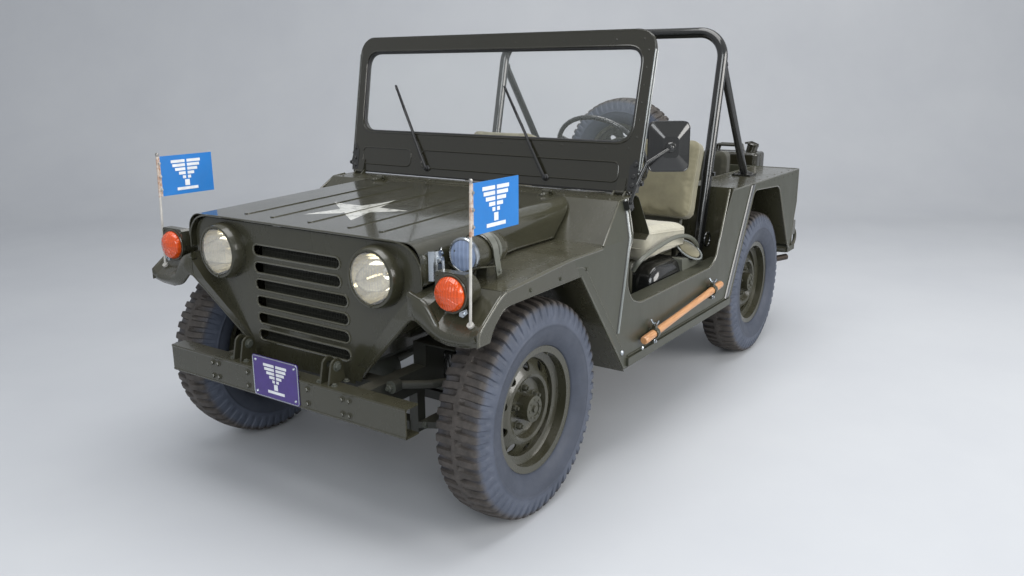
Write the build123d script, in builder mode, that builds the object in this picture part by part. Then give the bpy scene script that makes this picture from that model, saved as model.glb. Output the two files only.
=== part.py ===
# Open four-wheel-drive utility car, windshield up, top down, no doors.
# Millimetres. It is drawn with X forward from the front axle, Y to the left from the
# centre plane and Z up from the ground, and written about the middle of its footprint.
import os
from math import atan2, cos, degrees, hypot, radians, sin, tan

from build123d import *

os.makedirs("parts", exist_ok=True)

# Driving dimensions
WHEELBASE = 2159
TRACK = 1346
TYRE_RADIUS = 384
TYRE_WIDTH = 190
SHEET = 3
FIT = 0.3
RUNNING = 0.1
BODY_HALF = 790
BELT_Z = 893
SILL_Z = 385
SILL_PROUD = 10
FLOOR_Z = 400
REAR_FLOOR_Z = 540
DECK_Z = 950
REAR_OVERHANG = 541
NOSE_X = 360
FIREWALL_X = -398
BUMPER_X = 491
MIRROR_OUT = 115
SPARE_OUT = 103

AXLE_Z = TYRE_RADIUS
REAR_AXLE_X = -WHEELBASE
REAR_X = REAR_AXLE_X - REAR_OVERHANG
SPARE_X = REAR_X - SPARE_OUT
MIRROR_REACH = BODY_HALF + MIRROR_OUT
WHEEL_Y = TRACK / 2
INNER_HALF = BODY_HALF - SHEET

# The written origin lies on the ground below the middle of the whole outline
ORIGIN = Vector((BUMPER_X + SHEET + SPARE_X - TYRE_WIDTH / 2) / 2, (MIRROR_REACH - BODY_HALF - SILL_PROUD) / 2, 0)


def write(part, label):
    """Move a finished piece to the written origin and save it."""
    moved = part.moved(Location(-ORIGIN))
    moved.label = label
    export_step(moved, "parts/" + label + ".step")


def side_plane(y):
    """Plane whose sketch is (X, Z), extruded towards -Y."""
    return Plane(origin=(0, y, 0), x_dir=(1, 0, 0), z_dir=(0, -1, 0))


def front_plane(x):
    """Plane whose sketch is (Y, Z), extruded towards +X."""
    return Plane(origin=(x, 0, 0), x_dir=(0, 1, 0), z_dir=(1, 0, 0))


def corner_face(*points):
    """Closed face through corner points, in the current sketch."""
    with BuildLine() as corners:
        Polyline(*points, close=True)
    make_face(corners.edges())


def side_prism(points, y_low, y_high, mode=Mode.ADD):
    """Prism with an (X, Z) outline between two Y values, in the current part."""
    with BuildSketch(side_plane(y_high)) as outline:
        corner_face(*points)
    extrude(outline.sketch, amount=y_high - y_low, mode=mode)


def front_prism(points, x_low, x_high, mode=Mode.ADD):
    """Prism with a (Y, Z) outline between two X values, in the current part."""
    with BuildSketch(front_plane(x_low)) as outline:
        corner_face(*points)
    extrude(outline.sketch, amount=x_high - x_low, mode=mode)


def bent_sheet(plane, points, depth, side=Side.LEFT, thickness=SHEET):
    """Sheet whose edge follows open points on the plane, in the current part."""
    with BuildLine() as edge:
        Polyline(*points)
        offset(amount=thickness, side=side)
    with BuildSketch(plane) as outline:
        make_face(edge.edges())
    extrude(outline.sketch, amount=depth)


def bar(points, diameter, bend=0):
    """Round bar along straight runs with rounded bends, in the current part."""
    with BuildLine() as path:
        if bend:
            FilletPolyline(*points, radius=bend)
        else:
            Polyline(*points)
    with BuildSketch(Plane(path.line ^ 0)) as section:
        Circle(diameter / 2)
    sweep(section.sketch, path=path.line)


def block(low, high, mode=Mode.ADD):
    """Box between two opposite corners, in the current part."""
    low, high = [min(pair) for pair in zip(low, high)], [max(pair) for pair in zip(low, high)]
    with Locations(tuple((a + b) / 2 for a, b in zip(low, high))):
        Box(*[b - a for a, b in zip(low, high)], mode=mode)


def disc(centre, direction, radius, length, mode=Mode.ADD):
    """Cylinder from a centre along a direction, in the current part."""
    with BuildSketch(Plane(origin=centre, z_dir=direction)) as circle:
        Circle(radius)
    extrude(circle.sketch, amount=length, mode=mode)


def turned(centre, direction, points):
    """Solid turned about an axis from (radius, distance along) points, in the current part."""
    across = Vector(1, 0, 0) if abs(direction[2]) > 0.9 else Vector(0, 0, 1)
    with BuildSketch(Plane(origin=centre, x_dir=across, z_dir=across.cross(Vector(direction)))) as section:
        corner_face(*points)
    revolve(section.sketch, axis=Axis(centre, direction))


# Wheels: dished disc wheel with round vent holes and a brake drum, and a bulged tyre
RIM_HALF = 64
FLANGE_R = 222
BEAD_R = 204
WELL_R = 178
RIM_WALL = 5
VENT_COUNT = 10
VENT_R = 18
VENT_PITCH_R = 150
DRUM_R = 132
DRUM_IN = 50
HUB_R = 46
HUB_OUT = 52
SPINDLE_R = 22
SPINDLE_OUT = 30
SHOULDER_HALF = 76
BEAD_HALF = RIM_HALF - 8.5

RIM_SECTION = (
    (FLANGE_R, -RIM_HALF), (FLANGE_R, -RIM_HALF + 6), (BEAD_R, -RIM_HALF + 8), (BEAD_R, -24),
    (WELL_R, -14), (WELL_R, 14), (BEAD_R, 24), (BEAD_R, RIM_HALF - 8), (FLANGE_R, RIM_HALF - 6),
    (FLANGE_R, RIM_HALF), (BEAD_R - RIM_WALL, RIM_HALF - 3), (BEAD_R - RIM_WALL, 27),
    (WELL_R - RIM_WALL, 17), (WELL_R - RIM_WALL, 6), (128, 30), (118, 34), (108, 30), (100, 8),
    (HUB_R, 6), (HUB_R, HUB_OUT), (0, HUB_OUT), (0, SPINDLE_OUT),
    (SPINDLE_R + RUNNING, SPINDLE_OUT), (SPINDLE_R + RUNNING, -DRUM_IN + 2), (40, -DRUM_IN + 2),
    (40, -12), (DRUM_R - 8, -12), (DRUM_R - 8, -DRUM_IN), (DRUM_R, -DRUM_IN), (DRUM_R, -3),
    (103, -3), (106, 5), (113, 26), (118, 28), (126, 24), (WELL_R - RIM_WALL, -3),
    (WELL_R - RIM_WALL, -17), (BEAD_R - RIM_WALL, -27), (BEAD_R - RIM_WALL, -RIM_HALF + 3),
)

# Each wheel: name, hub centre, outward direction
WHEELS = (
    ("front_left", (0, WHEEL_Y, AXLE_Z), (0, 1, 0)),
    ("front_right", (0, -WHEEL_Y, AXLE_Z), (0, -1, 0)),
    ("rear_left", (-WHEELBASE, WHEEL_Y, AXLE_Z), (0, 1, 0)),
    ("rear_right", (-WHEELBASE, -WHEEL_Y, AXLE_Z), (0, -1, 0)),
    ("spare", (SPARE_X, -385, 947), (-1, 0, 0)),
)


def tyre_face():
    """Section of the tyre in (radius, outward), in the current sketch."""
    half = TYRE_WIDTH / 2
    bulge_r = 296
    edge_r = 350
    with BuildLine() as section:
        Polyline((BEAD_R, BEAD_HALF), (FLANGE_R + FIT, BEAD_HALF), (FLANGE_R + 5, RIM_HALF + 6))
        ThreePointArc((FLANGE_R + 5, RIM_HALF + 6), (bulge_r, half), (edge_r, SHOULDER_HALF + 10))
        Line((edge_r, SHOULDER_HALF + 10), (TYRE_RADIUS - 9, SHOULDER_HALF))
        ThreePointArc((TYRE_RADIUS - 9, SHOULDER_HALF), (TYRE_RADIUS, 0), (TYRE_RADIUS - 9, -SHOULDER_HALF))
        Line((TYRE_RADIUS - 9, -SHOULDER_HALF), (edge_r, -SHOULDER_HALF - 10))
        ThreePointArc((edge_r, -SHOULDER_HALF - 10), (bulge_r, -half), (FLANGE_R + 5, -RIM_HALF - 6))
        Polyline((FLANGE_R + 5, -RIM_HALF - 6), (FLANGE_R + FIT, -BEAD_HALF), (BEAD_R, -BEAD_HALF),
                 (BEAD_R, BEAD_HALF))
    make_face(section.edges())


for name, centre, outward in WHEELS:
    spin = Axis(centre, outward)
    across = Vector(0, 0, 1)
    section_plane = Plane(origin=centre, x_dir=across, z_dir=across.cross(Vector(outward)))
    with BuildPart() as rim:
        turned(centre, outward, RIM_SECTION)
        with BuildSketch(Plane(origin=centre, z_dir=outward)):
            with PolarLocations(VENT_PITCH_R, VENT_COUNT):
                Circle(VENT_R)
        extrude(amount=RIM_HALF, mode=Mode.SUBTRACT)
    write(rim.part, "rim_" + name)
    with BuildPart() as tyre:
        with BuildSketch(section_plane):
            tyre_face()
        revolve(axis=spin)
    write(tyre.part, "tyre_" + name)

# Hub uprights: swivelling knuckles at the front, and the same fixed upright at the rear
KINGPIN_Y = 572
KINGPIN_R = 12
UPPER_PIN_Z = 478
LOWER_PIN_Z = 290
UPRIGHT_FACE_Y = KINGPIN_Y + 22
PLATE_IN = 6


def upright(x, side):
    """Upright with its drum backing plate and wheel spindle, in the current part."""
    with BuildSketch(Plane.XY.offset(LOWER_PIN_Z + 16)) as plan:
        corner_face((x - 42, side * UPRIGHT_FACE_Y), (x + 42, side * UPRIGHT_FACE_Y),
                    (x + 42, side * (KINGPIN_Y - 2)), (x + 18, side * (KINGPIN_Y - 20)),
                    (x - 18, side * (KINGPIN_Y - 20)), (x - 42, side * (KINGPIN_Y - 2)))
    extrude(plan.sketch, amount=UPPER_PIN_Z - LOWER_PIN_Z - 32)
    plate_face = WHEEL_Y - DRUM_IN - PLATE_IN
    disc((x, side * (UPRIGHT_FACE_Y - 2), AXLE_Z), (0, side, 0), 38, plate_face - UPRIGHT_FACE_Y + 2)
    disc((x, side * (plate_face - 4), AXLE_Z), (0, side, 0), DRUM_R + 3, 4)
    spindle_start = UPRIGHT_FACE_Y - 1
    disc((x, side * spindle_start, AXLE_Z), (0, side, 0), SPINDLE_R, WHEEL_Y + SPINDLE_OUT - 2 - spindle_start)


for name, side in (("left", 1), ("right", -1)):
    with BuildPart() as knuckle:
        upright(0, side)
        disc((0, side * KINGPIN_Y, LOWER_PIN_Z - 12), (0, 0, 1), KINGPIN_R, UPPER_PIN_Z - LOWER_PIN_Z + 24)
        block((-150, side * (KINGPIN_Y - 30), 330), (-20, side * (KINGPIN_Y - 12), 350))
    write(knuckle.part, "knuckle_" + name)

# Underframe: kicked-up side rails, crossmembers, spring towers and arm brackets
RAIL_Y = 330
RAIL_HALF = 28
BUMPER_WALL = 5
RAIL_END_X = REAR_AXLE_X - 441
RAIL_IN = RAIL_Y - RAIL_HALF
RAIL_OUT = RAIL_Y + RAIL_HALF
RAIL_OUTLINE = (
    (BUMPER_X - BUMPER_WALL, 424), (BUMPER_X - BUMPER_WALL, 505), (-430, 505), (-556, FLOOR_Z - SHEET),
    (REAR_AXLE_X + 499, FLOOR_Z - SHEET), (REAR_AXLE_X + 359, REAR_FLOOR_Z - SHEET),
    (RAIL_END_X, REAR_FLOOR_Z - SHEET), (RAIL_END_X, 445), (REAR_AXLE_X + 309, 440), (REAR_AXLE_X + 439, 312),
    (-520, 312), (-400, 420),
)
TOWER_Z = 588
SPRING_Y = 440
REAR_SPRING_Y = 458
SPRING_DX = 90
LOW_BRACKET_Z = 262
ARM_IN = 340
# Crossmembers: middle X, half length along X, low Z, high Z
CROSSMEMBERS = ((300, 28, 430, 497), (-1000, 30, 312, 344), (REAR_AXLE_X + 469, 30, 312, 344),
                (REAR_AXLE_X - 381, 30, 450, 530))

with BuildPart() as underframe:
    for side in (1, -1):
        y_low, y_high = sorted((side * RAIL_IN, side * RAIL_OUT))
        side_prism(RAIL_OUTLINE, y_low, y_high)
        block((-SPRING_DX - 50, side * RAIL_IN, 500), (SPRING_DX + 40, side * RAIL_OUT, TOWER_Z))
        block((-SPRING_DX - 50, side * RAIL_IN, TOWER_Z - 6), (SPRING_DX + 40, side * (SPRING_Y + 48), TOWER_Z))
        for x in (140, -140, -WHEELBASE + 310):
            block((x - 20, side * RAIL_IN, LOW_BRACKET_Z if x > -200 else 300), (x + 20, side * ARM_IN, 450))
    for x in (140, -140):
        block((x - 25, -RAIL_IN, LOW_BRACKET_Z), (x + 25, RAIL_IN, LOW_BRACKET_Z + 36))
    for x in (-WHEELBASE + 150, -WHEELBASE - 150):
        block((x - 20, -RAIL_IN, 450), (x + 20, RAIL_IN, 500))
    for x, half, low, high in CROSSMEMBERS:
        block((x - half, -RAIL_IN, low), (x + half, RAIL_IN, high))
write(underframe.part, "underframe")

# Suspension arms: lower wishbones and upper links in front, trailing arms with uprights behind
ARM_THICK = 24
BOSS_R = 28
LOWER_ARM_Z = LOWER_PIN_Z - 12
REAR_ARM_Z = 318

with BuildPart() as suspension_arms:
    for side in (1, -1):
        with BuildSketch(Plane.XY.offset(LOWER_ARM_Z)):
            corner_face((-160, side * ARM_IN), (160, side * ARM_IN), (26, side * KINGPIN_Y),
                        (-26, side * KINGPIN_Y))
            corner_face((-105, side * (ARM_IN - 1)), (105, side * (ARM_IN - 1)), (34, side * 470),
                        (-34, side * 470))
        extrude(amount=ARM_THICK)
    for side in (1, -1):
        block((-24, side * RAIL_OUT, UPPER_PIN_Z - 12), (24, side * KINGPIN_Y, UPPER_PIN_Z + 12))
        disc((300, side * (RAIL_OUT + 22), 496), (1, 0, 0), 22, 34)
        bar(((300, side * (RAIL_OUT + 30), 496), (215, side * 456, 486), (16, side * 552, UPPER_PIN_Z)), 28)
        for z in (LOWER_ARM_Z, UPPER_PIN_Z - 12):
            disc((0, side * KINGPIN_Y, z), (0, 0, 1), BOSS_R, ARM_THICK)
            disc((0, side * KINGPIN_Y, z), (0, 0, 1), KINGPIN_R + RUNNING, ARM_THICK, mode=Mode.SUBTRACT)
        upright(-WHEELBASE, side)
        front_x = -WHEELBASE + 290
        with BuildSketch(Plane.XY.offset(REAR_ARM_Z)):
            corner_face((front_x, side * ARM_IN), (front_x, side * 540), (-WHEELBASE + 170, side * 560),
                        (-WHEELBASE + 40, side * (KINGPIN_Y + 18)), (-WHEELBASE + 40, side * (KINGPIN_Y - 18)))
        extrude(amount=32)
write(suspension_arms.part, "suspension_arms")

# Springs with grooved outlines standing for their coils, and dampers beside them
SPRING_R = 44
WIRE = 13
SPRING_SEAT_Z = LOWER_ARM_Z + ARM_THICK


def coil(x, y, low, high):
    """Closed wavy-sided spring between two heights, in the current part."""
    turns = round((high - low) / 42)
    pitch = (high - low) / turns
    points = [(0, low), (SPRING_R, low)]
    for turn in range(turns):
        points.append((SPRING_R, low + turn * pitch + WIRE))
        points.append((SPRING_R - WIRE, low + (turn + 0.5) * pitch + WIRE / 2))
        points.append((SPRING_R, low + (turn + 1) * pitch - (WIRE if turn == turns - 1 else 0)))
    points += [(SPRING_R, high), (0, high)]
    turned((x, y, 0), (0, 0, 1), points)


with BuildPart() as springs:
    for side in (1, -1):
        coil(-SPRING_DX, side * SPRING_Y, SPRING_SEAT_Z, TOWER_Z - 6)
        disc((SPRING_DX, side * SPRING_Y, SPRING_SEAT_Z), (0, 0, 1), 24, 150)
        disc((SPRING_DX, side * SPRING_Y, SPRING_SEAT_Z + 150), (0, 0, 1), 10, TOWER_Z - 6 - SPRING_SEAT_Z - 150)
        coil(-WHEELBASE + 170, side * REAR_SPRING_Y, REAR_ARM_Z + 32, REAR_FLOOR_Z - SHEET)
        disc((-WHEELBASE + 250, side * REAR_SPRING_Y, REAR_ARM_Z + 32), (0, 0, 1), 22,
             REAR_FLOOR_Z - SHEET - REAR_ARM_Z - 32)
write(springs.part, "springs_and_dampers")

# Driveline: gearbox, shafts, both differentials and half shafts; engine block above the front one
GEARBOX_REAR_X = -760
DIFF_R = 92
SHAFT_END_Y = KINGPIN_Y - 32

with BuildPart() as driveline:
    side_prism(((-330, 360), (-330, 560), (-430, 520), (-700, 500), (GEARBOX_REAR_X, 460),
                (GEARBOX_REAR_X, 370), (-640, 356)), -90, 90)
    for x in (0, -WHEELBASE):
        with Locations((x, 0, AXLE_Z)):
            Sphere(DIFF_R)
        disc((x, -SHAFT_END_Y, AXLE_Z), (0, 1, 0), 16, 2 * SHAFT_END_Y)
    block((-115, -40, 268), (115, 40, 300))
    block((-WHEELBASE - 130, -40, 450), (-WHEELBASE + 130, 40, 480))
    bar(((GEARBOX_REAR_X + 5, 0, 420), (-WHEELBASE + DIFF_R - 10, 0, AXLE_Z + 10)), 56)
    bar(((-600, -70, 395), (-DIFF_R + 12, -20, AXLE_Z)), 40)
write(driveline.part, "driveline")

with BuildPart() as engine:
    side_prism(((-330 + FIT, 430), (-130, 430), (-110, 490), (215, 490), (215, 800), (150, 850), (-260, 850),
                (-330 + FIT, 760)), -150, 150)
    for side in (1, -1):
        block((-260, side * 140, 505), (-200, side * RAIL_OUT, 530))
    disc((215, 0, 640), (1, 0, 0), 30, 25)
    disc((228, 0, 640), (1, 0, 0), 190, 8)
write(engine.part, "engine")

with BuildPart() as radiator:
    block((275, -225, 515), (325, 225, 930))
    for side in (1, -1):
        block((285, side * 180, 497), (315, side * 210, 520))
write(radiator.part, "radiator")

# Floor pan: toe board, front floor and step in one bent sheet, load floor, tunnel
TOE_X = -560
TOE_TOP = (FIREWALL_X - 7, 640)
STEP_X = REAR_AXLE_X + 509
SILL_END_X = STEP_X + 16
TUNNEL_HALF = 125
TUNNEL_TOP = 585
TUNNEL_LEAN = 25
WHEELHOUSE_Y = WHEEL_Y - 153
INNER_SILL_Y = BODY_HALF - 90
TAIL_LOW = (REAR_X + 83, 506)
TAIL_KNEE_Z = 760
TAIL_SLOPE = (TAIL_LOW[0] - REAR_X) / (TAIL_KNEE_Z - TAIL_LOW[1])
LOAD_END_X = TAIL_LOW[0] - TAIL_SLOPE * (REAR_FLOOR_Z - SHEET - TAIL_LOW[1]) + SHEET + 1

with BuildPart() as floor_pan:
    bent_sheet(side_plane(INNER_SILL_Y), (TOE_TOP, (TOE_X, FLOOR_Z), (STEP_X, FLOOR_Z),
                                          (STEP_X, REAR_FLOOR_Z)), 2 * INNER_SILL_Y)
    block((LOAD_END_X, -WHEELHOUSE_Y, REAR_FLOOR_Z - SHEET), (STEP_X, WHEELHOUSE_Y, REAR_FLOOR_Z))
    front_prism(((-TUNNEL_HALF, FLOOR_Z - SHEET), (TUNNEL_HALF, FLOOR_Z - SHEET),
                 (TUNNEL_HALF - TUNNEL_LEAN, TUNNEL_TOP), (-TUNNEL_HALF + TUNNEL_LEAN, TUNNEL_TOP)),
                STEP_X, TOE_TOP[0] - 20)
    front_prism(((-TUNNEL_HALF + SHEET, FLOOR_Z - 40), (TUNNEL_HALF - SHEET, FLOOR_Z - 40),
                 (TUNNEL_HALF - TUNNEL_LEAN - SHEET, TUNNEL_TOP - SHEET),
                 (-TUNNEL_HALF + TUNNEL_LEAN + SHEET, TUNNEL_TOP - SHEET)),
                STEP_X + SHEET, FIREWALL_X + 20, mode=Mode.SUBTRACT)
    block((STEP_X - SHEET - 1, -45, FLOOR_Z - 40), (STEP_X + SHEET + 1, 45, 450), mode=Mode.SUBTRACT)
    for side in (1, -1):
        block((STEP_X - SHEET - 1, side * WHEELHOUSE_Y, FLOOR_Z - 40),
              (SILL_END_X, side * (INNER_SILL_Y + 1), REAR_FLOOR_Z + 1), mode=Mode.SUBTRACT)
write(floor_pan.part, "floor_pan")

# Body sides: outer panel with door opening and arches, leaning cowl corner, hollow sill
SKIRT_BACK = ((-142, BELT_Z), (-195, 817))
ARCH_FRONT = (*[(x - FIT, z) for x, z in SKIRT_BACK], (-550, 366), (-535, SILL_Z - 8))
DOOR = ((-590, BELT_Z), (-556, 836), (-550, 703), (-600, 640), (-666, 617),
        (REAR_AXLE_X + 749, 617), (REAR_AXLE_X + 690, 651), (REAR_AXLE_X + 639, 763), (REAR_AXLE_X + 511, DECK_Z))
LINER = ((REAR_AXLE_X + 487, 402), (REAR_AXLE_X + 206, 914), (REAR_AXLE_X - 195, 892), (REAR_AXLE_X - 420, 530))
ARCH_REAR = ((REAR_AXLE_X + 504, SILL_Z), *LINER, TAIL_LOW)
COWL_FRONT = (-547, 1031)
COWL_BACK = (-615, 1038)
COWL_HALF = BODY_HALF - 40
LEAN = atan2(BODY_HALF - COWL_HALF, COWL_FRONT[1] - BELT_Z)


def cowl_inner(z):
    """Half width just inside the leaning cowl corner at a height."""
    return BODY_HALF - (z - BELT_Z) * tan(LEAN) - SHEET / cos(LEAN) - FIT


HANDLE_R = 17
HANDLE_FRONT = Vector(-659, BODY_HALF + HANDLE_R + 7, 466)
HANDLE_REAR = Vector(REAR_AXLE_X + 679, BODY_HALF + HANDLE_R + 7, 528)
CLAMP_XS = (HANDLE_FRONT.X - 101, HANDLE_REAR.X + 100)

for name, side in (("left", 1), ("right", -1)):
    y_low, y_high = sorted((side * INNER_HALF, side * BODY_HALF))
    slope = Plane(origin=(0, side * BODY_HALF, BELT_Z), x_dir=(-side, 0, 0),
                  z_dir=(0, side * cos(LEAN), sin(LEAN)))
    rise = 1 / cos(LEAN)
    with BuildPart() as body_side:
        side_prism((*ARCH_FRONT, *ARCH_REAR, (REAR_X, TAIL_KNEE_Z), (REAR_X, DECK_Z), *reversed(DOOR)), y_low, y_high)
        with BuildSketch(slope):
            corner_face((-side * -353, 0), (-side * COWL_FRONT[0], (COWL_FRONT[1] - BELT_Z) * rise),
                        (-side * COWL_BACK[0], (COWL_BACK[1] - BELT_Z) * rise), (side * 590, 0))
        extrude(amount=-SHEET)
        block((-640, side * INNER_SILL_Y, 614), (SILL_END_X, side * INNER_HALF, 617))
        block((-575, side * INNER_SILL_Y, SILL_Z), (SILL_END_X, side * (INNER_SILL_Y + SHEET), 614))
        block((-545, side * INNER_SILL_Y, SILL_Z), (SILL_END_X, side * INNER_HALF, SILL_Z + SHEET))
        block((-560, side * INNER_HALF, SILL_Z), (STEP_X - 5, side * (BODY_HALF + SILL_PROUD), SILL_Z + 34))
        if side > 0:
            along = (HANDLE_REAR - HANDLE_FRONT).normalized()
            for x in CLAMP_XS:
                middle = HANDLE_FRONT + along * ((x - HANDLE_FRONT.X) / along.X)
                block((x - 12, BODY_HALF, middle.Z - 14), (x + 12, HANDLE_FRONT.Y - HANDLE_R, middle.Z + 14))
                disc(tuple(middle - along * 12), tuple(along), HANDLE_R + 4, 24)
                disc(tuple(middle - along * 20), tuple(along), HANDLE_R + FIT, 40, mode=Mode.SUBTRACT)
    write(body_side.part, "body_" + name)

# Front fenders: top sheet, nose scooped out below the lamp, turned-down lip, skirt, apron and liner
NOSE_FACE_X = NOSE_X + 45
FENDER_LINE = ((FIREWALL_X + 3, BELT_Z), (-139, BELT_Z), (267, 865), (NOSE_FACE_X, 764))
NOSE_BACK_X = FENDER_LINE[2][0] - 2
SKIRT_LOW = ((NOSE_FACE_X, 724), (341, 724), (322, 762), (285, 796), (250, 815))
# Upper and lower edges of the lip, as (inset from the body side, Z)
LIP_TOP = ((241, 850), (213, 840), (188, 820), (172, 792), (154, 765), (118, 752), (70, 748), (35, 750), (3, 764))
LIP_LOW = ((3, 724), (51, 712), (120, 709), (166, 720), (207, 753), (228, 771), (245, 776), (262, 768),
           (508, 530), (522, 500), (546, 500), (532, 553))
PANEL_HALF = BODY_HALF - 239
FENDER_IN = PANEL_HALF - 7
APRON_LOW = (258, 553)
APRON_TOP = (PANEL_HALF - 2, 852)
LIP_FACE = ((NOSE_X, 500), (NOSE_X, APRON_LOW[1]), (NOSE_FACE_X, 764), (NOSE_FACE_X, 870))


def nose(side, above, below=None, floor=None):
    """Scooped nose between two offsets of its top surface, or down to a floor, in the current part."""
    sections = []
    for x, heights in ((NOSE_BACK_X, [FENDER_LINE[2][1]] * len(LIP_TOP)),
                       (NOSE_FACE_X - 1, [z for inset, z in LIP_TOP])):
        top = [(x, side * (BODY_HALF - inset), z + above) for (inset, old), z in zip(LIP_TOP, heights)]
        low = [(x, y, z - above + below if floor is None else floor) for x, y, z in top]
        sections.append(Wire.make_polygon([*top, *reversed(low)]))
    add(Solid.make_loft(sections, ruled=True))


for name, side in (("left", 1), ("right", -1)):
    y_low, y_high = sorted((side * FENDER_IN, side * INNER_HALF))
    with BuildPart() as lip:
        bent_sheet(side_plane(side * (INNER_HALF - 300) + 300), LIP_FACE, 600, side=Side.LEFT)
        front_prism([(side * (BODY_HALF - inset), z) for inset, z in (*LIP_TOP, *LIP_LOW)], NOSE_X - 20,
                    NOSE_FACE_X + 20, mode=Mode.INTERSECT)
    with BuildPart() as fender:
        bent_sheet(front_plane(NOSE_X - 40), ((side * APRON_LOW[0], APRON_LOW[1]), (side * APRON_TOP[0], APRON_TOP[1])),
                   90, side=Side.RIGHT if side > 0 else Side.LEFT)
        side_prism((*LIP_FACE, (NOSE_FACE_X + 60, 900), (NOSE_FACE_X + 60, 500)), -BODY_HALF, BODY_HALF,
                   mode=Mode.SUBTRACT)
        bent_sheet(front_plane(FIREWALL_X + 3), ((side * APRON_LOW[0], APRON_LOW[1]),
                                                 (side * APRON_TOP[0], APRON_TOP[1]),
                                                 (side * APRON_TOP[0], BELT_Z)),
                   NOSE_X - SHEET - FIREWALL_X - 3, side=Side.LEFT if side > 0 else Side.RIGHT)
        side_prism((*FENDER_LINE[:3], (NOSE_FACE_X, LIP_TOP[0][1]), (NOSE_FACE_X, 1000), (FIREWALL_X, 1000)),
                   -BODY_HALF, BODY_HALF, mode=Mode.SUBTRACT)
        bent_sheet(side_plane(y_high), FENDER_LINE[:3], y_high - y_low, side=Side.RIGHT)
        nose(side, 0, -4)
        add(lip.part)
        block((FIREWALL_X, side * (INNER_HALF - 1), BELT_Z - SHEET - 1), (-350, side * (INNER_HALF + 1), BELT_Z + 1),
              mode=Mode.SUBTRACT)
        s_low, s_high = sorted((side * INNER_HALF, side * BODY_HALF))
        side_prism((*FENDER_LINE[2:], *SKIRT_LOW, *reversed(SKIRT_BACK)), s_low, s_high)
        l_low, l_high = sorted((side * (APRON_TOP[0] + 2), side * INNER_HALF))
        bent_sheet(side_plane(l_high), ((-200, BELT_Z - SHEET), (-200, 812), (-548, 368)), l_high - l_low)
    write(fender.part, "fender_" + name)

# Grille panel: slots, headlamp holes, rounded top corners and narrow foot
SLOT_PITCH = 62.5
SLOT_HEIGHT = 42
SLOT_LOW_Z = 584
SLOT_COUNT = 6
SLOT_HALF = 230
LAMP_Y = 375
LAMP_Z = 878
LAMP_HOLE_R = 88
PANEL_TOP = 990
PANEL_CORNER_R = 80

with BuildPart() as grille_panel:
    with BuildSketch(front_plane(NOSE_X - SHEET)):
        corner_face((-240, 487), (240, 487), APRON_LOW, APRON_TOP, (PANEL_HALF, PANEL_TOP),
                    (-PANEL_HALF, PANEL_TOP), (-APRON_TOP[0], APRON_TOP[1]), (-APRON_LOW[0], APRON_LOW[1]))
        fillet([v for v in vertices() if v.Y > PANEL_TOP - 1], PANEL_CORNER_R)
        for row in range(SLOT_COUNT):
            left = SLOT_HALF - 28 if row >= SLOT_COUNT - 2 else SLOT_HALF
            with Locations(((left - SLOT_HALF) / 2, SLOT_LOW_Z + row * SLOT_PITCH)):
                SlotOverall(left + SLOT_HALF, SLOT_HEIGHT, mode=Mode.SUBTRACT)
        with Locations((LAMP_Y, LAMP_Z), (-LAMP_Y, LAMP_Z)):
            Circle(LAMP_HOLE_R, mode=Mode.SUBTRACT)
    extrude(amount=SHEET)
write(grille_panel.part, "grille_panel")

# Hood: open-bottomed shell with rounded shoulders, pressed ribs and two hinge leaves
HOOD_HALF = PANEL_HALF + 13
HOOD_FRONT = (378, 1003)
HOOD_BACK = (-530, 1036)
HOOD_SIDE_LOW = ((-380, 901), (-139, 901), (378, 872))
HOOD_SHOULDER_R = 62
HOOD_HINGE = (-536, 1047)
HOOD_HINGE_Y = 440
HINGE_PIN_R = 5
RIB_YS = (-330, -190, 0, 190, 330)
RIB_LENGTH = 760
RIB_WIDTH = 20
RIB_HEIGHT = 3

with BuildPart() as hood:
    side_prism((HOOD_FRONT, HOOD_BACK, *HOOD_SIDE_LOW), -HOOD_HALF, HOOD_HALF)
    top = faces().sort_by(Axis.Z)[-1]
    fillet(top.edges().filter_by(lambda e: abs(e.center().Y) > HOOD_HALF - 1), HOOD_SHOULDER_R)
    low_faces = [f for f in faces() if f.normal_at().Z < -0.9]
    end_faces = [f for f in faces() if abs(f.normal_at().X) > 0.65 and abs(f.normal_at().Z) < 0.75]
    offset(amount=-SHEET, openings=low_faces + end_faces)
    hood_slope = atan2(HOOD_BACK[1] - HOOD_FRONT[1], HOOD_FRONT[0] - HOOD_BACK[0])
    middle = ((HOOD_FRONT[0] + HOOD_BACK[0]) / 2, (HOOD_FRONT[1] + HOOD_BACK[1]) / 2)
    with BuildSketch(Plane(origin=(middle[0], 0, middle[1] - 1), x_dir=(cos(hood_slope), 0, -sin(hood_slope)),
                           z_dir=(sin(hood_slope), 0, cos(hood_slope)))):
        with Locations([(0, y) for y in RIB_YS]):
            SlotOverall(RIB_LENGTH, RIB_WIDTH)
    extrude(amount=RIB_HEIGHT + 1)
    for side in (1, -1):
        y_low, y_high = sorted((side * (HOOD_HINGE_Y - 13), side * (HOOD_HINGE_Y + 13)))
        side_prism((HOOD_HINGE, (HOOD_HINGE[0], HOOD_HINGE[1] - 8), (-528, 1036), (-480, 1032), (-480, 1038)),
                   y_low, y_high)
        disc((HOOD_HINGE[0], y_low, HOOD_HINGE[1]), (0, 1, 0), 9, 26)
        disc((HOOD_HINGE[0], y_low, HOOD_HINGE[1]), (0, 1, 0), HINGE_PIN_R + RUNNING, 26, mode=Mode.SUBTRACT)
write(hood.part, "hood")

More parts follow.
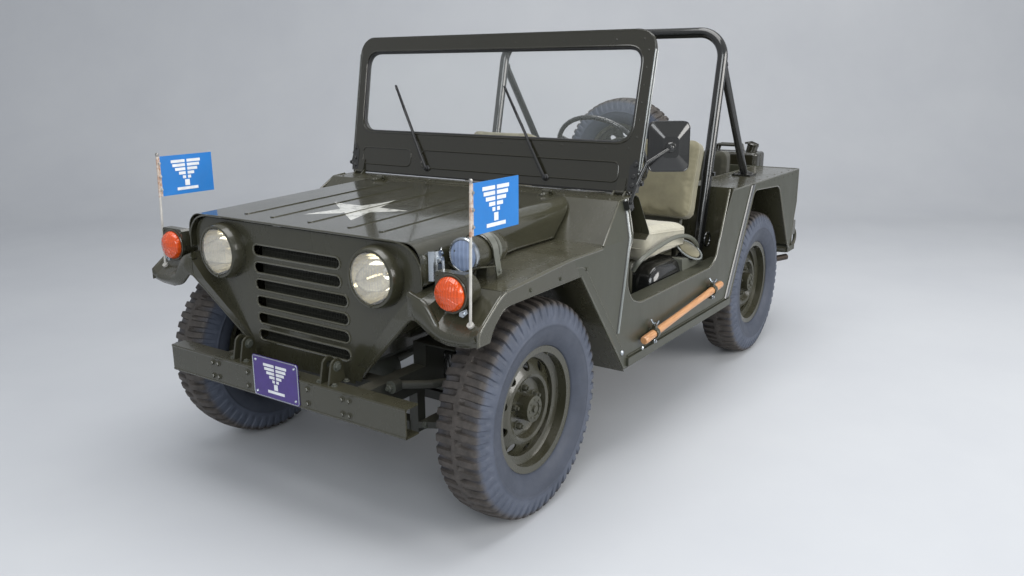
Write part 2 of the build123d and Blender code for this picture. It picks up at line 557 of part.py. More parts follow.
# Cowl: firewall, sloping corner faces, top and dash in bent sheet, with hinge ears
COWL_SLOPE = ((FIREWALL_X + 3, BELT_Z), (-540, 1032), (-690, 1038), (-712, 1026), (-735, 880), (-705, 862))
WINDSHIELD_AXIS = (-664, 1046)
WINDSHIELD_HINGE_Y = COWL_HALF - 60
COLUMN_TOP = Vector(-1020, 415, 1145)
COLUMN_TILT = 35
COLUMN_DIR = Vector(cos(radians(COLUMN_TILT)), 0, -sin(radians(COLUMN_TILT)))
COLUMN_R = 20

with BuildPart() as cowl:
    bent_sheet(side_plane(INNER_HALF), COWL_SLOPE, 2 * INNER_HALF)
    low_half, top_half = cowl_inner(BELT_Z), cowl_inner(1045)
    front_prism(((-low_half, 800), (low_half, 800), (low_half, BELT_Z), (top_half, 1045),
                 (-top_half, 1045), (-low_half, BELT_Z)), -760, -380, mode=Mode.INTERSECT)
    block((FIREWALL_X, -INNER_HALF + FIT, TOE_TOP[1]), (FIREWALL_X + SHEET, INNER_HALF - FIT, BELT_Z))
    for side in (1, -1):
        for y in (HOOD_HINGE_Y - 19, HOOD_HINGE_Y + 19):
            y_low, y_high = sorted((side * (y - 4), side * (y + 4)))
            side_prism((HOOD_HINGE, (HOOD_HINGE[0] - 4, 1032), (-562, 1031), (-556, 1044)), y_low, y_high)
            disc((HOOD_HINGE[0], y_low, HOOD_HINGE[1]), (0, 1, 0), 7, 8)
        pin_low = min(side * (HOOD_HINGE_Y - 20), side * (HOOD_HINGE_Y + 20))
        disc((HOOD_HINGE[0], pin_low, HOOD_HINGE[1]), (0, 1, 0), HINGE_PIN_R, 40)
        for y in (WINDSHIELD_HINGE_Y - 24, WINDSHIELD_HINGE_Y + 24):
            y_low, y_high = sorted((side * (y - 4), side * (y + 4)))
            side_prism(((-638, 1034), (-658, WINDSHIELD_AXIS[1] + 3), (-669, WINDSHIELD_AXIS[1] - 4), (-672, 1035)),
                       y_low, y_high)
            disc((WINDSHIELD_AXIS[0], y_low, WINDSHIELD_AXIS[1]), (0, 1, 0), 7, 8)
        pin_low = min(side * (WINDSHIELD_HINGE_Y - 26), side * (WINDSHIELD_HINGE_Y + 26))
        disc((WINDSHIELD_AXIS[0], pin_low, WINDSHIELD_AXIS[1]), (0, 1, 0), HINGE_PIN_R, 52)
    disc(tuple(COLUMN_TOP), tuple(COLUMN_DIR), COLUMN_R + FIT, 800, mode=Mode.SUBTRACT)
write(cowl.part, "cowl")

# Rear wheelhouses: deck, inner wall, arch liner and front wall on each side
DECK_FRONT_X = REAR_AXLE_X + 453
FRONT_WALL_FOOT = (STEP_X + 8, FLOOR_Z + FIT)

with BuildPart() as wheelhouses:
    for side in (1, -1):
        y_low, y_high = sorted((side * (WHEELHOUSE_Y + FIT), side * (INNER_HALF - FIT)))
        block((DECK_FRONT_X, y_low, DECK_Z - SHEET), (REAR_X + SHEET + 1, y_high, DECK_Z))
        bent_sheet(side_plane(y_high), (FRONT_WALL_FOOT, (DECK_FRONT_X, DECK_Z)), y_high - y_low, side=Side.LEFT)
        w_low, w_high = sorted((side * (WHEELHOUSE_Y + FIT), side * (WHEELHOUSE_Y + FIT + SHEET)))
        side_prism(((DECK_FRONT_X, DECK_Z), FRONT_WALL_FOOT, (REAR_AXLE_X + 439, 403),
                     (REAR_AXLE_X + 359, REAR_FLOOR_Z - SHEET),
                    (LOAD_END_X, REAR_FLOOR_Z - SHEET), (REAR_X + SHEET + 1, TAIL_KNEE_Z),
                    (REAR_X + SHEET + 1, DECK_Z)), w_low, w_high)
        bent_sheet(side_plane(y_high), LINER, y_high - y_low, side=Side.LEFT)
write(wheelhouses.part, "wheelhouses")

with BuildPart() as rear_panel:
    bent_sheet(side_plane(INNER_HALF - FIT), ((REAR_X, DECK_Z), (REAR_X, TAIL_KNEE_Z), TAIL_LOW),
               2 * (INNER_HALF - FIT))
write(rear_panel.part, "rear_panel")

# Windshield: thick rounded frame with a thinner lower panel, hinged at its front foot
FRAME_LEAN = 11.35
FRAME_FOOT = Vector(-673, 0, 1049)
FRAME_HEIGHT = 622
FRAME_HALF_LOW = BODY_HALF - 38
FRAME_HALF_TOP = BODY_HALF - 27
FRAME_DEPTH = 26
GLASS_LOW = 186
GLASS_HIGH = 556
GLASS_HALF_LOW = FRAME_HALF_LOW - 44
GLASS_HALF_TOP = FRAME_HALF_TOP - 45
GLASS_DEPTH = 11
GLASS_THICK = 5
lean_up = Vector(-sin(radians(FRAME_LEAN)), 0, cos(radians(FRAME_LEAN)))
lean_out = Vector(cos(radians(FRAME_LEAN)), 0, sin(radians(FRAME_LEAN)))
FRAME_PLANE = Plane(origin=FRAME_FOOT, x_dir=(0, 1, 0), z_dir=lean_out)


def glass_outline(gap):
    """Windshield opening in (Y, height), drawn inside by a gap, in the current sketch."""
    with BuildSketch(mode=Mode.PRIVATE) as opening:
        corner_face((-GLASS_HALF_LOW, GLASS_LOW), (GLASS_HALF_LOW, GLASS_LOW),
                    (GLASS_HALF_TOP, GLASS_HIGH), (-GLASS_HALF_TOP, GLASS_HIGH))
        fillet(opening.vertices().group_by(Axis.Y)[0], 85)
        fillet(opening.vertices().group_by(Axis.Y)[-1], 55)
        if gap:
            offset(amount=-gap)
    return opening.sketch


with BuildPart() as windshield:
    with BuildSketch(FRAME_PLANE):
        corner_face((-FRAME_HALF_LOW, 0), (FRAME_HALF_LOW, 0), (FRAME_HALF_TOP, FRAME_HEIGHT),
                    (-FRAME_HALF_TOP, FRAME_HEIGHT))
        fillet(vertices().group_by(Axis.Y)[-1], 75)
        add(glass_outline(0), mode=Mode.SUBTRACT)
    extrude(amount=-FRAME_DEPTH)
    with BuildSketch(FRAME_PLANE.offset(-FRAME_DEPTH)):
        with Locations((0, 92)):
            RectangleRounded(2 * FRAME_HALF_LOW - 94, 140, 20)
    extrude(amount=FRAME_DEPTH - 4, mode=Mode.SUBTRACT)
    for side in (1, -1):
        y_low, y_high = sorted((side * (WINDSHIELD_HINGE_Y - 18), side * (WINDSHIELD_HINGE_Y + 18)))
        side_prism((WINDSHIELD_AXIS, (-676, 1050), (-688, 1100), (-679, 1101), (-663, 1053)), y_low, y_high)
        disc((WINDSHIELD_AXIS[0], y_low, WINDSHIELD_AXIS[1]), (0, 1, 0), 8, 36)
        disc((WINDSHIELD_AXIS[0], y_low, WINDSHIELD_AXIS[1]), (0, 1, 0), HINGE_PIN_R + RUNNING, 36,
             mode=Mode.SUBTRACT)
write(windshield.part, "windshield_frame")

with BuildPart() as glass:
    with BuildSketch(FRAME_PLANE.offset(-GLASS_DEPTH)):
        add(glass_outline(FIT))
    extrude(amount=-GLASS_THICK)
write(glass.part, "windshield_glass")

# Wipers: pivot, arm and blade, as (pivot Y, tip Y, tip height) on the windshield plane
WIPERS = ((-289, -520, 400), (341, 90, 400))
with BuildPart() as wipers:
    for pivot_y, tip_y, tip_s in WIPERS:
        pivot = FRAME_FOOT + Vector(0, pivot_y, 0) + lean_up * 32
        tip = FRAME_FOOT + Vector(0, tip_y, 0) + lean_up * tip_s
        disc(tuple(pivot), tuple(lean_out), 10, 13)
        bar((tuple(pivot + lean_out * 9), tuple(tip + lean_out * 4)), 6)
write(wipers.part, "wipers")

# Mirror on the left cowl corner: deep-backed housing on a bent arm
MIRROR_ANGLE = 38
MIRROR_SIZE = (158, 190)
MIRROR_EDGE_IN = Vector(-705, BODY_HALF - 5, 1222)
mirror_across = Vector(-sin(radians(MIRROR_ANGLE)), cos(radians(MIRROR_ANGLE)), 0)
mirror_out = Vector(cos(radians(MIRROR_ANGLE)), sin(radians(MIRROR_ANGLE)), 0)
mirror_middle = MIRROR_EDGE_IN + mirror_across * (MIRROR_SIZE[0] / 2)
MIRROR_FACE = Plane(origin=mirror_middle, x_dir=mirror_across, z_dir=mirror_out)

with BuildPart() as mirror:
    with BuildSketch(MIRROR_FACE):
        RectangleRounded(*MIRROR_SIZE, 26)
    extrude(amount=-16)
    with BuildSketch(MIRROR_FACE):
        RectangleRounded(*MIRROR_SIZE, 26)
    with BuildSketch(MIRROR_FACE.offset(30)):
        RectangleRounded(60, 80, 14)
    loft()
    ball = mirror_middle + mirror_out * 34
    with Locations(tuple(ball)):
        Sphere(13)
    bar((tuple(ball), (-640, BODY_HALF + 22, 1170), (-606, BODY_HALF - 2, 1090), (-588, BODY_HALF - 16, 1020)),
        12, bend=20)
    slope = Plane(origin=(0, BODY_HALF, BELT_Z), x_dir=(-1, 0, 0), z_dir=(0, cos(LEAN), sin(LEAN)))
    with BuildSketch(slope):
        with Locations((588, 122)):
            Rectangle(38, 34)
    extrude(amount=22)
write(mirror.part, "mirror")

# Seats: tube frames over the tank, cushions and backs for two in front and a bench behind
SEAT_TUBE = 25
SEAT_TUBE_Z = 700
SEAT_Y = 462
SEAT_HALF = 218
SEAT_FRONT_X = -950
SEAT_REAR_X = -1420
SEAT_TOP_FRONT = 850
SEAT_TOP_REAR = 805
SEAT_LEG_X = (-975, -1440)
SEAT_LEG_DY = 125
BACK_FOOT = (-1402, 822)
BACK_LEAN = 17
BACK_HEIGHT = 400
BACK_THICK = 85
BENCH_HALF = 490
BENCH_TOP = 792
BENCH_BASE = 690
BENCH_X = REAR_AXLE_X + 9
BENCH_BACK_X = REAR_AXLE_X - 316
cushion_base = SEAT_TUBE_Z + SEAT_TUBE / 2 + FIT


def back_point(up, behind):
    """Point of a front seat back in (X, Z): height along it and depth behind its face."""
    lean = radians(BACK_LEAN)
    return (BACK_FOOT[0] - up * sin(lean) - behind * cos(lean), BACK_FOOT[1] + up * cos(lean) - behind * sin(lean))


with BuildPart() as seat_frames:
    for side in (1, -1):
        low = back_point(-98, BACK_THICK + SEAT_TUBE / 2 + FIT)
        high = back_point(BACK_HEIGHT - 60, BACK_THICK + SEAT_TUBE / 2 + FIT)
        for y in (side * SEAT_Y - SEAT_LEG_DY, side * SEAT_Y + SEAT_LEG_DY):
            bar(((SEAT_LEG_X[0], y, FLOOR_Z + 1), (SEAT_LEG_X[0], y, SEAT_TUBE_Z), (low[0], y, SEAT_TUBE_Z),
                 (high[0], y, high[1])), SEAT_TUBE, bend=40)
            disc((SEAT_LEG_X[1], y, FLOOR_Z + 1), (0, 0, 1), SEAT_TUBE / 2 - 1, SEAT_TUBE_Z - FLOOR_Z)
            for x in SEAT_LEG_X:
                disc((x, y, FLOOR_Z), (0, 0, 1), 26, 5)
        for x in (-1040, -1380):
            disc((x, side * SEAT_Y - SEAT_LEG_DY, SEAT_TUBE_Z), (0, 1, 0), SEAT_TUBE / 2 - 1, 2 * SEAT_LEG_DY)
        disc((high[0], side * SEAT_Y - SEAT_LEG_DY - 12, high[1]), (0, 1, 0), SEAT_TUBE / 2, 2 * SEAT_LEG_DY + 24)
    for y in (-400, 400):
        for x in (BENCH_X + 170, BENCH_X - 170):
            disc((x, y, REAR_FLOOR_Z), (0, 0, 1), 14, 150)
        block((BENCH_X - 195, y - 15, BENCH_BASE - 14), (BENCH_X + 195, y + 15, BENCH_BASE))
        bar(((BENCH_X - 185, y, BENCH_BASE - 14), (BENCH_BACK_X, y, BENCH_BASE - 14), (BENCH_BACK_X, y, 1020)), 22,
            bend=30)
write(seat_frames.part, "seat_frames")

with BuildPart() as front_seat_cushions:
    for side in (1, -1):
        y_low, y_high = side * SEAT_Y - SEAT_HALF, side * SEAT_Y + SEAT_HALF
        side_prism(((SEAT_FRONT_X, cushion_base), (SEAT_FRONT_X, SEAT_TOP_FRONT - 20),
                    (SEAT_FRONT_X - 25, SEAT_TOP_FRONT), (SEAT_REAR_X, SEAT_TOP_REAR), (SEAT_REAR_X, cushion_base)),
                   y_low, y_high)
    fillet(edges().filter_by(Axis.Z), 35)
write(front_seat_cushions.part, "front_seat_cushions")

with BuildPart() as front_seat_backs:
    for side in (1, -1):
        face_plane = Plane(origin=(BACK_FOOT[0], side * SEAT_Y, BACK_FOOT[1]), x_dir=(0, 1, 0),
                           z_dir=(cos(radians(BACK_LEAN)), 0, sin(radians(BACK_LEAN))))
        with BuildSketch(face_plane):
            with Locations((0, BACK_HEIGHT / 2)):
                RectangleRounded(2 * SEAT_HALF, BACK_HEIGHT, 45)
        extrude(amount=-BACK_THICK)
write(front_seat_backs.part, "front_seat_backs")

with BuildPart() as rear_seat_cushion:
    with BuildSketch(Plane.XY.offset(BENCH_BASE + FIT)):
        with Locations((BENCH_X, 0)):
            RectangleRounded(400, 2 * BENCH_HALF, 40)
    extrude(amount=BENCH_TOP - BENCH_BASE)
write(rear_seat_cushion.part, "rear_seat_cushion")

with BuildPart() as rear_seat_back:
    with BuildSketch(front_plane(BENCH_BACK_X + 11 + FIT)):
        with Locations((0, 935)):
            RectangleRounded(2 * BENCH_HALF, 270, 45)
    extrude(amount=85)
write(rear_seat_back.part, "rear_seat_back")

# Steering wheel with three spokes, its column, and the driver's levers and pedals
WHEEL_RIM_R = 206
WHEEL_RIM_TUBE = 20
HUB_DEPTH = 34
SHAFT_R = 10
wheel_centre = COLUMN_TOP
column_foot = wheel_centre + COLUMN_DIR * 735
column_top = wheel_centre + COLUMN_DIR * 60

with BuildPart() as steering_wheel:
    rim_plane = Plane(origin=wheel_centre, x_dir=(0, 1, 0), z_dir=-COLUMN_DIR)
    with BuildSketch(Plane(origin=wheel_centre + Vector(0, WHEEL_RIM_R, 0), x_dir=(0, 1, 0),
                           z_dir=COLUMN_DIR.cross(Vector(0, 1, 0)))) as rim_section:
        Circle(WHEEL_RIM_TUBE / 2)
    revolve(rim_section.sketch, axis=Axis(wheel_centre, COLUMN_DIR))
    disc(tuple(wheel_centre - COLUMN_DIR * 4), tuple(COLUMN_DIR), 32, HUB_DEPTH)
    for angle in (90, 210, 330):
        direction = rim_plane.from_local_coords(Vector(cos(radians(angle)), sin(radians(angle)), 0)) - wheel_centre
        bar((tuple(wheel_centre + COLUMN_DIR * 12 + direction * 20), tuple(wheel_centre + direction * WHEEL_RIM_R)),
            12)
    disc(tuple(wheel_centre + COLUMN_DIR * 10), tuple(COLUMN_DIR), SHAFT_R, 120)
write(steering_wheel.part, "steering_wheel")

with BuildPart() as driver_controls:
    disc(tuple(column_top), tuple(COLUMN_DIR), COLUMN_R, (column_foot - column_top).length)
    disc(tuple(column_top), tuple(COLUMN_DIR), SHAFT_R + RUNNING, 90, mode=Mode.SUBTRACT)
    block((-445, 385, 660), (FIREWALL_X, 445, 760))
    bar(((-905, 415, 1062), (-890, 560, 1130)), 10)
    disc((-620, 0, TUNNEL_TOP), (0, 0, 1), 34, 12)
    bar(((-620, 0, TUNNEL_TOP + 4), (-700, 0, 760), (-760, 0, 850)), 14)
    with Locations((-760, 0, 855)):
        Sphere(22)
    for y, top in ((-75, 700), (60, 690)):
        disc((-840, y, TUNNEL_TOP), (0, 0, 1), 20, 10)
        bar(((-840, y, TUNNEL_TOP + 3), (-880, y, top)), 12)
        with Locations((-880, y, top)):
            Sphere(16)
    for y in (270, 350, 500):
        bar(((FIREWALL_X, y, 690), (-430, y, 690), (-490, y, 660), (-566, y, 532)), 12)
        with Locations(Location((-566, y, 530), (0, -55, 0))):
            Box(10, 62, 70)
write(driver_controls.part, "driver_controls")

# Fuel tank under the driver's seat, with its neck and tilted oval cap
TANK_X = (-1390, -1050)
TANK_Y = (215, 655)
TANK_Z = (FLOOR_Z + FIT, 680)
CAP_CENTRE = Vector(DOOR[-4][0] - 75, BODY_HALF - 125, 695)

with BuildPart() as fuel_tank:
    block((TANK_X[0], TANK_Y[0], TANK_Z[0]), (TANK_X[1], TANK_Y[1], TANK_Z[1]))
    fillet(edges().filter_by(Axis.Y), 45)
    for x in (-1120, -1320):
        block((x - 25, TANK_Y[0] + 30, FLOOR_Z), (x + 25, TANK_Y[1] - 30, FLOOR_Z + 20))
    bar(((TANK_X[0] + 20, TANK_Y[1] - 40, 540), tuple(CAP_CENTRE + Vector(45, -15, -95)), tuple(CAP_CENTRE)), 54)
    disc(tuple(CAP_CENTRE), (-0.15, 0.35, 0.92), 62, 26)
write(fuel_tank.part, "fuel_tank")

# Roll bar: bent main hoop standing on the floor, with two stays to the wheelhouse decks
HOOP_TUBE = 50
HOOP_Y = BODY_HALF - 150
HOOP_FOOT_X = REAR_AXLE_X + 608
HOOP_TOP_X = REAR_AXLE_X + 333
HOOP_TOP_Z = 1705
STAY_FOOT = (REAR_AXLE_X - 76, DECK_Z)

with BuildPart() as roll_bar:
    legs = ((HOOP_FOOT_X, FLOOR_Z + 7), (HOOP_TOP_X, HOOP_TOP_Z - HOOP_TUBE / 2))
    bar([(x, HOOP_Y, z) for x, z in legs] + [(x, -HOOP_Y, z) for x, z in reversed(legs)], HOOP_TUBE, bend=130)
    for side in (1, -1):
        bar(((HOOP_TOP_X + 28, side * HOOP_Y, HOOP_TOP_Z - 155),
             (STAY_FOOT[0], side * (HOOP_Y - 10), STAY_FOOT[1] + 4)), 40)
        foot_low, foot_high = side * (HOOP_Y - 60), side * (HOOP_Y + 40)
        block((STAY_FOOT[0] - 50, foot_low, DECK_Z - 40), (STAY_FOOT[0] + 50, foot_high, DECK_Z), mode=Mode.SUBTRACT)
        block((STAY_FOOT[0] - 50, foot_low, DECK_Z), (STAY_FOOT[0] + 50, foot_high, DECK_Z + 8))
        block((HOOP_FOOT_X - 45, side * (HOOP_Y - 50), FLOOR_Z), (HOOP_FOOT_X + 45, side * (HOOP_Y + 50), FLOOR_Z + 8))
write(roll_bar.part, "roll_bar")

# Rear carriers: spare wheel bracket with its stud, and the can's tray with a strap
CAN_Y = (185, 530)
CAN_X = (REAR_X - 180, REAR_X - 15)
CAN_Z = (600, 1070)
SPARE_Z = 947
SPARE_Y = -385
spare_plate_x = SPARE_X + DRUM_IN + 1

with BuildPart() as rear_carriers:
    block((REAR_X - 6, SPARE_Y - 120, 770), (REAR_X, SPARE_Y + 120, 948))
    disc((REAR_X, SPARE_Y, SPARE_Z - 40), (-1, 0, 0), 70, REAR_X - spare_plate_x)
    disc((spare_plate_x + 5, SPARE_Y, SPARE_Z), (-1, 0, 0), 110, 6)
    disc((spare_plate_x, SPARE_Y, SPARE_Z), (-1, 0, 0), SPINDLE_R - 0.2, 60)
    block((CAN_X[0] - 8, CAN_Y[0] - 8, CAN_Z[0] - 5), (REAR_X, CAN_Y[1] + 8, CAN_Z[0] - FIT))
    block((CAN_X[0] - 8, CAN_Y[0] - 8, CAN_Z[0] - 5), (CAN_X[0] - 4, CAN_Y[1] + 8, CAN_Z[0] + 60))
    for y_low, y_high in ((CAN_Y[0] - 8, CAN_Y[0] - 4), (CAN_Y[1] + 4, CAN_Y[1] + 8)):
        block((CAN_X[0] - 8, y_low, CAN_Z[0] - 5), (REAR_X - 12, y_high, CAN_Z[0] + 60))
    block((REAR_X - 12, CAN_Y[0] - 8, 765), (REAR_X, CAN_Y[1] + 8, 830))
    block((REAR_X - 14, CAN_Y[0] + 30, 600 - 5), (REAR_X - 8, CAN_Y[1] - 30, 830))
write(rear_carriers.part, "rear_carriers")

# Fuel can: ribbed body with a three-bar handle and a clamped cap
with BuildPart() as jerrycan:
    side_prism(((CAN_X[0], CAN_Z[0]), (CAN_X[1], CAN_Z[0]), (CAN_X[1], CAN_Z[1] - 45), (CAN_X[0], CAN_Z[1] - 45)),
               CAN_Y[0], CAN_Y[1])
    fillet(edges().filter_by(Axis.Z), 30)
    fillet(faces().sort_by(Axis.Z)[-1].edges(), 18)
    middle_x = (CAN_X[0] + CAN_X[1]) / 2
    for x in (middle_x - 48, middle_x, middle_x + 48):
        bar(((x, CAN_Y[0] + 60, CAN_Z[1] - 60), (x, CAN_Y[0] + 75, CAN_Z[1] - 8), (x, CAN_Y[1] - 135, CAN_Z[1] - 8),
             (x, CAN_Y[1] - 120, CAN_Z[1] - 60)), 15, bend=10)
    disc((middle_x, CAN_Y[1] - 62, CAN_Z[1] - 50), (0, 0.25, 1), 32, 46)
write(jerrycan.part, "jerrycan")

# Lamps: headlamps behind the grille panel, marker lamps in the noses, blackout and rear lamps
HEADLAMP_R = 82
BEZEL_R = 103
MARKER_X = NOSE_X + 18
MARKER_Y = 675
MARKER_Z = 866
MARKER_R = 60
LENS_R = 50
BLACKOUT_Y = 634
BLACKOUT_Z = 956
BLACKOUT_R = 54
BLACKOUT_X = 70
STRAP_R = 62
STRAP_THICK = 4
STRAP_X = 175
STRAP_LEAN = 12

HEADLAMP_BOWL = ((0, -120), (50, -110), (88, -62), (HEADLAMP_R - 2, -SHEET - FIT), (HEADLAMP_R - 2, FIT),
                 (BEZEL_R, FIT), (BEZEL_R, 8), (BEZEL_R - 7, 42), (BEZEL_R - 13, 48), (HEADLAMP_R + 3, 48),
                 (HEADLAMP_R + 2, 44), (HEADLAMP_R, 48), (62, 56), (32, 61), (0, 63))

with BuildPart() as headlamps:
    for side in (1, -1):
        centre = (NOSE_X, side * LAMP_Y, LAMP_Z)
        turned(centre, (1, 0, 0), HEADLAMP_BOWL)
        disc((NOSE_X - SHEET, side * LAMP_Y, LAMP_Z), (-1, 0, 0), LAMP_HOLE_R + 14, 5)
write(headlamps.part, "headlamps")

with BuildPart() as marker_lamps:
    for side in (1, -1):
        centre = (MARKER_X, side * MARKER_Y, MARKER_Z)
        turned(centre, (1, 0, 0), ((0, -96), (34, -92), (52, -80), (MARKER_R - 6, -58), (MARKER_R - 4, -12),
                                   (MARKER_R, -10), (MARKER_R, 0), (LENS_R, 3), (LENS_R, 9), (LENS_R - 8, 19),
                                   (LENS_R - 24, 25), (0, 28)))
        y = side * MARKER_Y
        front_prism(((y - MARKER_R, MARKER_Z), (y - MARKER_R, MARKER_Z + 56), (y - MARKER_R + 8, MARKER_Z + 64),
                     (y + MARKER_R - 8, MARKER_Z + 64), (y + MARKER_R, MARKER_Z + 56), (y + MARKER_R, MARKER_Z)),
                    MARKER_X - 34, MARKER_X - 1)
    with BuildPart(mode=Mode.PRIVATE) as below_noses:
        for side in (1, -1):
            nose(side, FIT, floor=600)
    add(below_noses.part, mode=Mode.SUBTRACT)
write(marker_lamps.part, "marker_lamps")


def fender_top(x):
    """Height of the fender's middle slope at an X value."""
    (x_a, z_a), (x_b, z_b) = FENDER_LINE[1:3]
    return z_a + (z_b - z_a) * (x - x_a) / (x_b - x_a)


with BuildPart() as blackout_lamp:
    turned((BLACKOUT_X, BLACKOUT_Y, BLACKOUT_Z), (1, 0, 0), (
        (0, 0), (34, 4), (48, 20), (BLACKOUT_R, 40), (BLACKOUT_R, 188), (BLACKOUT_R - 5, 192), (0, 186)))
    side_prism(((120, fender_top(120) + FIT), (170, fender_top(170) + FIT), (165, BLACKOUT_Z - 40),
                (130, BLACKOUT_Z - 40)), BLACKOUT_Y - 20, BLACKOUT_Y + 20)
    with BuildPart(mode=Mode.PRIVATE) as guard:
        for radius, half, mode in ((STRAP_R, 11, Mode.ADD), (STRAP_R - STRAP_THICK, 12, Mode.SUBTRACT)):
            disc((-half, 0, 0), (1, 0, 0), radius, 2 * half, mode)
            block((-half, -radius, -119 - half), (half, radius, 0), mode)
    add(guard.part.moved(Location((STRAP_X, BLACKOUT_Y, BLACKOUT_Z), (0, STRAP_LEAN, 0))))
    side_prism(((-139, 600), (-139, BELT_Z + FIT), (267, FENDER_LINE[2][1] + FIT), (267, 600)),
               BLACKOUT_Y - 90, BLACKOUT_Y + 90, mode=Mode.SUBTRACT)
    for y in (BLACKOUT_Y - STRAP_R + 1, BLACKOUT_Y + STRAP_R - 1):
        bar(((BLACKOUT_X + 100, y, BLACKOUT_Z - 44), (BLACKOUT_X + 190, y, BLACKOUT_Z - 30),
             (BLACKOUT_X + 203, BLACKOUT_Y, BLACKOUT_Z - BLACKOUT_R + 2)), 6)
write(blackout_lamp.part, "blackout_lamp")

# Front bumper: channel with a pair of towing ears on each side, and the blank plate on it
BUMPER_LOW = 416
BUMPER_HIGH = 516
BUMPER_DEPTH = 60
BUMPER_HALF = 579
TOW_EYE = (438, 573)
TOW_EYE_R = 12
TOW_Y = 219
TOW_GAP = 30
EAR = 8

with BuildPart() as front_bumper:
    block((BUMPER_X - BUMPER_DEPTH, -BUMPER_HALF, BUMPER_LOW), (BUMPER_X, BUMPER_HALF, BUMPER_HIGH))
    block((BUMPER_X - BUMPER_DEPTH, -BUMPER_HALF, BUMPER_LOW + BUMPER_WALL),
          (BUMPER_X - BUMPER_WALL, BUMPER_HALF, BUMPER_HIGH - BUMPER_WALL), mode=Mode.SUBTRACT)
    for side in (1, -1):
        for face in (-TOW_GAP / 2 - EAR, TOW_GAP / 2):
            with BuildSketch(side_plane(side * TOW_Y + face + EAR)) as ear:
                corner_face((TOW_EYE[0] - 34, BUMPER_HIGH - 1), (TOW_EYE[0] + 40, BUMPER_HIGH - 1),
                            (TOW_EYE[0] + 24, TOW_EYE[1] + 14), (TOW_EYE[0] - 24, TOW_EYE[1] + 14))
                with Locations(TOW_EYE):
                    Circle(26)
                    Circle(TOW_EYE_R, mode=Mode.SUBTRACT)
            extrude(ear.sketch, amount=EAR)
write(front_bumper.part, "front_bumper")

PLATE_SIZE = (226, 147)
with BuildPart() as bumper_plate:
    with BuildSketch(front_plane(BUMPER_X)):
        with Locations((0, 493)):
            RectangleRounded(*PLATE_SIZE, 8)
    extrude(amount=SHEET)
write(bumper_plate.part, "bumper_plate")

# Pennants: blank plates on staffs that stand on the fender noses
PENNANT_Y = BODY_HALF - 46
STAFF_FOOT_X = 372
FLAG_LENGTH = 240
FLAG_Z = (1044, 1196)
nose_run = NOSE_FACE_X - 1 - NOSE_BACK_X
nose_fall = FENDER_LINE[2][1] - LIP_TOP[-2][1]
staff_foot_z = FENDER_LINE[2][1] - nose_fall * (STAFF_FOOT_X - NOSE_BACK_X) / nose_run
nose_normal = Vector(nose_fall, 0, nose_run).normalized()

with BuildPart() as pennants:
    for side in (1, -1):
        y = side * PENNANT_Y
        foot = Vector(STAFF_FOOT_X, y, staff_foot_z)
        disc(tuple(foot + nose_normal * FIT), tuple(nose_normal), 11, 8)
        bar((tuple(foot + nose_normal * 5), (STAFF_FOOT_X - 10, y, FLAG_Z[1] + 5)), 9)
        side_prism(((STAFF_FOOT_X - 7, FLAG_Z[0]), (STAFF_FOOT_X - 10, FLAG_Z[1]),
                    (STAFF_FOOT_X - 10 - FLAG_LENGTH, FLAG_Z[1]), (STAFF_FOOT_X - 10 - FLAG_LENGTH, FLAG_Z[0])),
                   y - 1.5, y + 1.5)
write(pennants.part, "pennants")

# Wooden tool handle held by the clamps along the left sill
with BuildPart() as tool_handle:
    bar((tuple(HANDLE_FRONT), tuple(HANDLE_REAR)), 2 * HANDLE_R)
write(tool_handle.part, "tool_handle")

# Rear bumper: cross plate with a towing pintle, side bars with lifting rings, and rear lamps
RING_X = REAR_X - 100
RING_Y = BODY_HALF - 38
RING_Z = 530

with BuildPart() as rear_bumper:
    block((RAIL_END_X - 12, -RAIL_OUT, 440), (RAIL_END_X, RAIL_OUT, 537 - SHEET))
    block((RAIL_END_X - 60, -50, 440), (RAIL_END_X - 12, 50, 498))
    disc((RAIL_END_X - 58, 0, 475), (-1, 0, 0), 26, 70)
    block((RAIL_END_X - 150, -22, 440), (RAIL_END_X - 110, 22, 520))
    for side in (1, -1):
        bar(((RAIL_END_X - 29, side * 300, 475), (RAIL_END_X - 35, side * 560, 475),
             (REAR_X + 10, side * RING_Y, 475)), 36)
        with Locations(Location((RING_X, side * RING_Y, RING_Z), (90, 0, 0))):
            Torus(46, 10)
        block((RING_X - 12, side * RING_Y - 12, 460), (REAR_X + 20, side * RING_Y + 12, 492))
write(rear_bumper.part, "rear_bumper")

LAMP_BACK_X = REAR_X - 35
REAR_LAMP_Y = BODY_HALF - 50
with BuildPart() as rear_lamps:
    for side in (1, -1):
        low, high = 566, 648
        slope_x = [REAR_X + (TAIL_KNEE_Z - z) * TAIL_SLOPE for z in (low, high)]
        side_prism(((slope_x[0], low), (LAMP_BACK_X, low), (LAMP_BACK_X, high), (slope_x[1], high)),
                   side * REAR_LAMP_Y - 42, side * REAR_LAMP_Y + 42)
        disc((LAMP_BACK_X, side * REAR_LAMP_Y, (low + high) / 2), (-1, 0, 0), 34, 10)
write(rear_lamps.part, "rear_lamps")

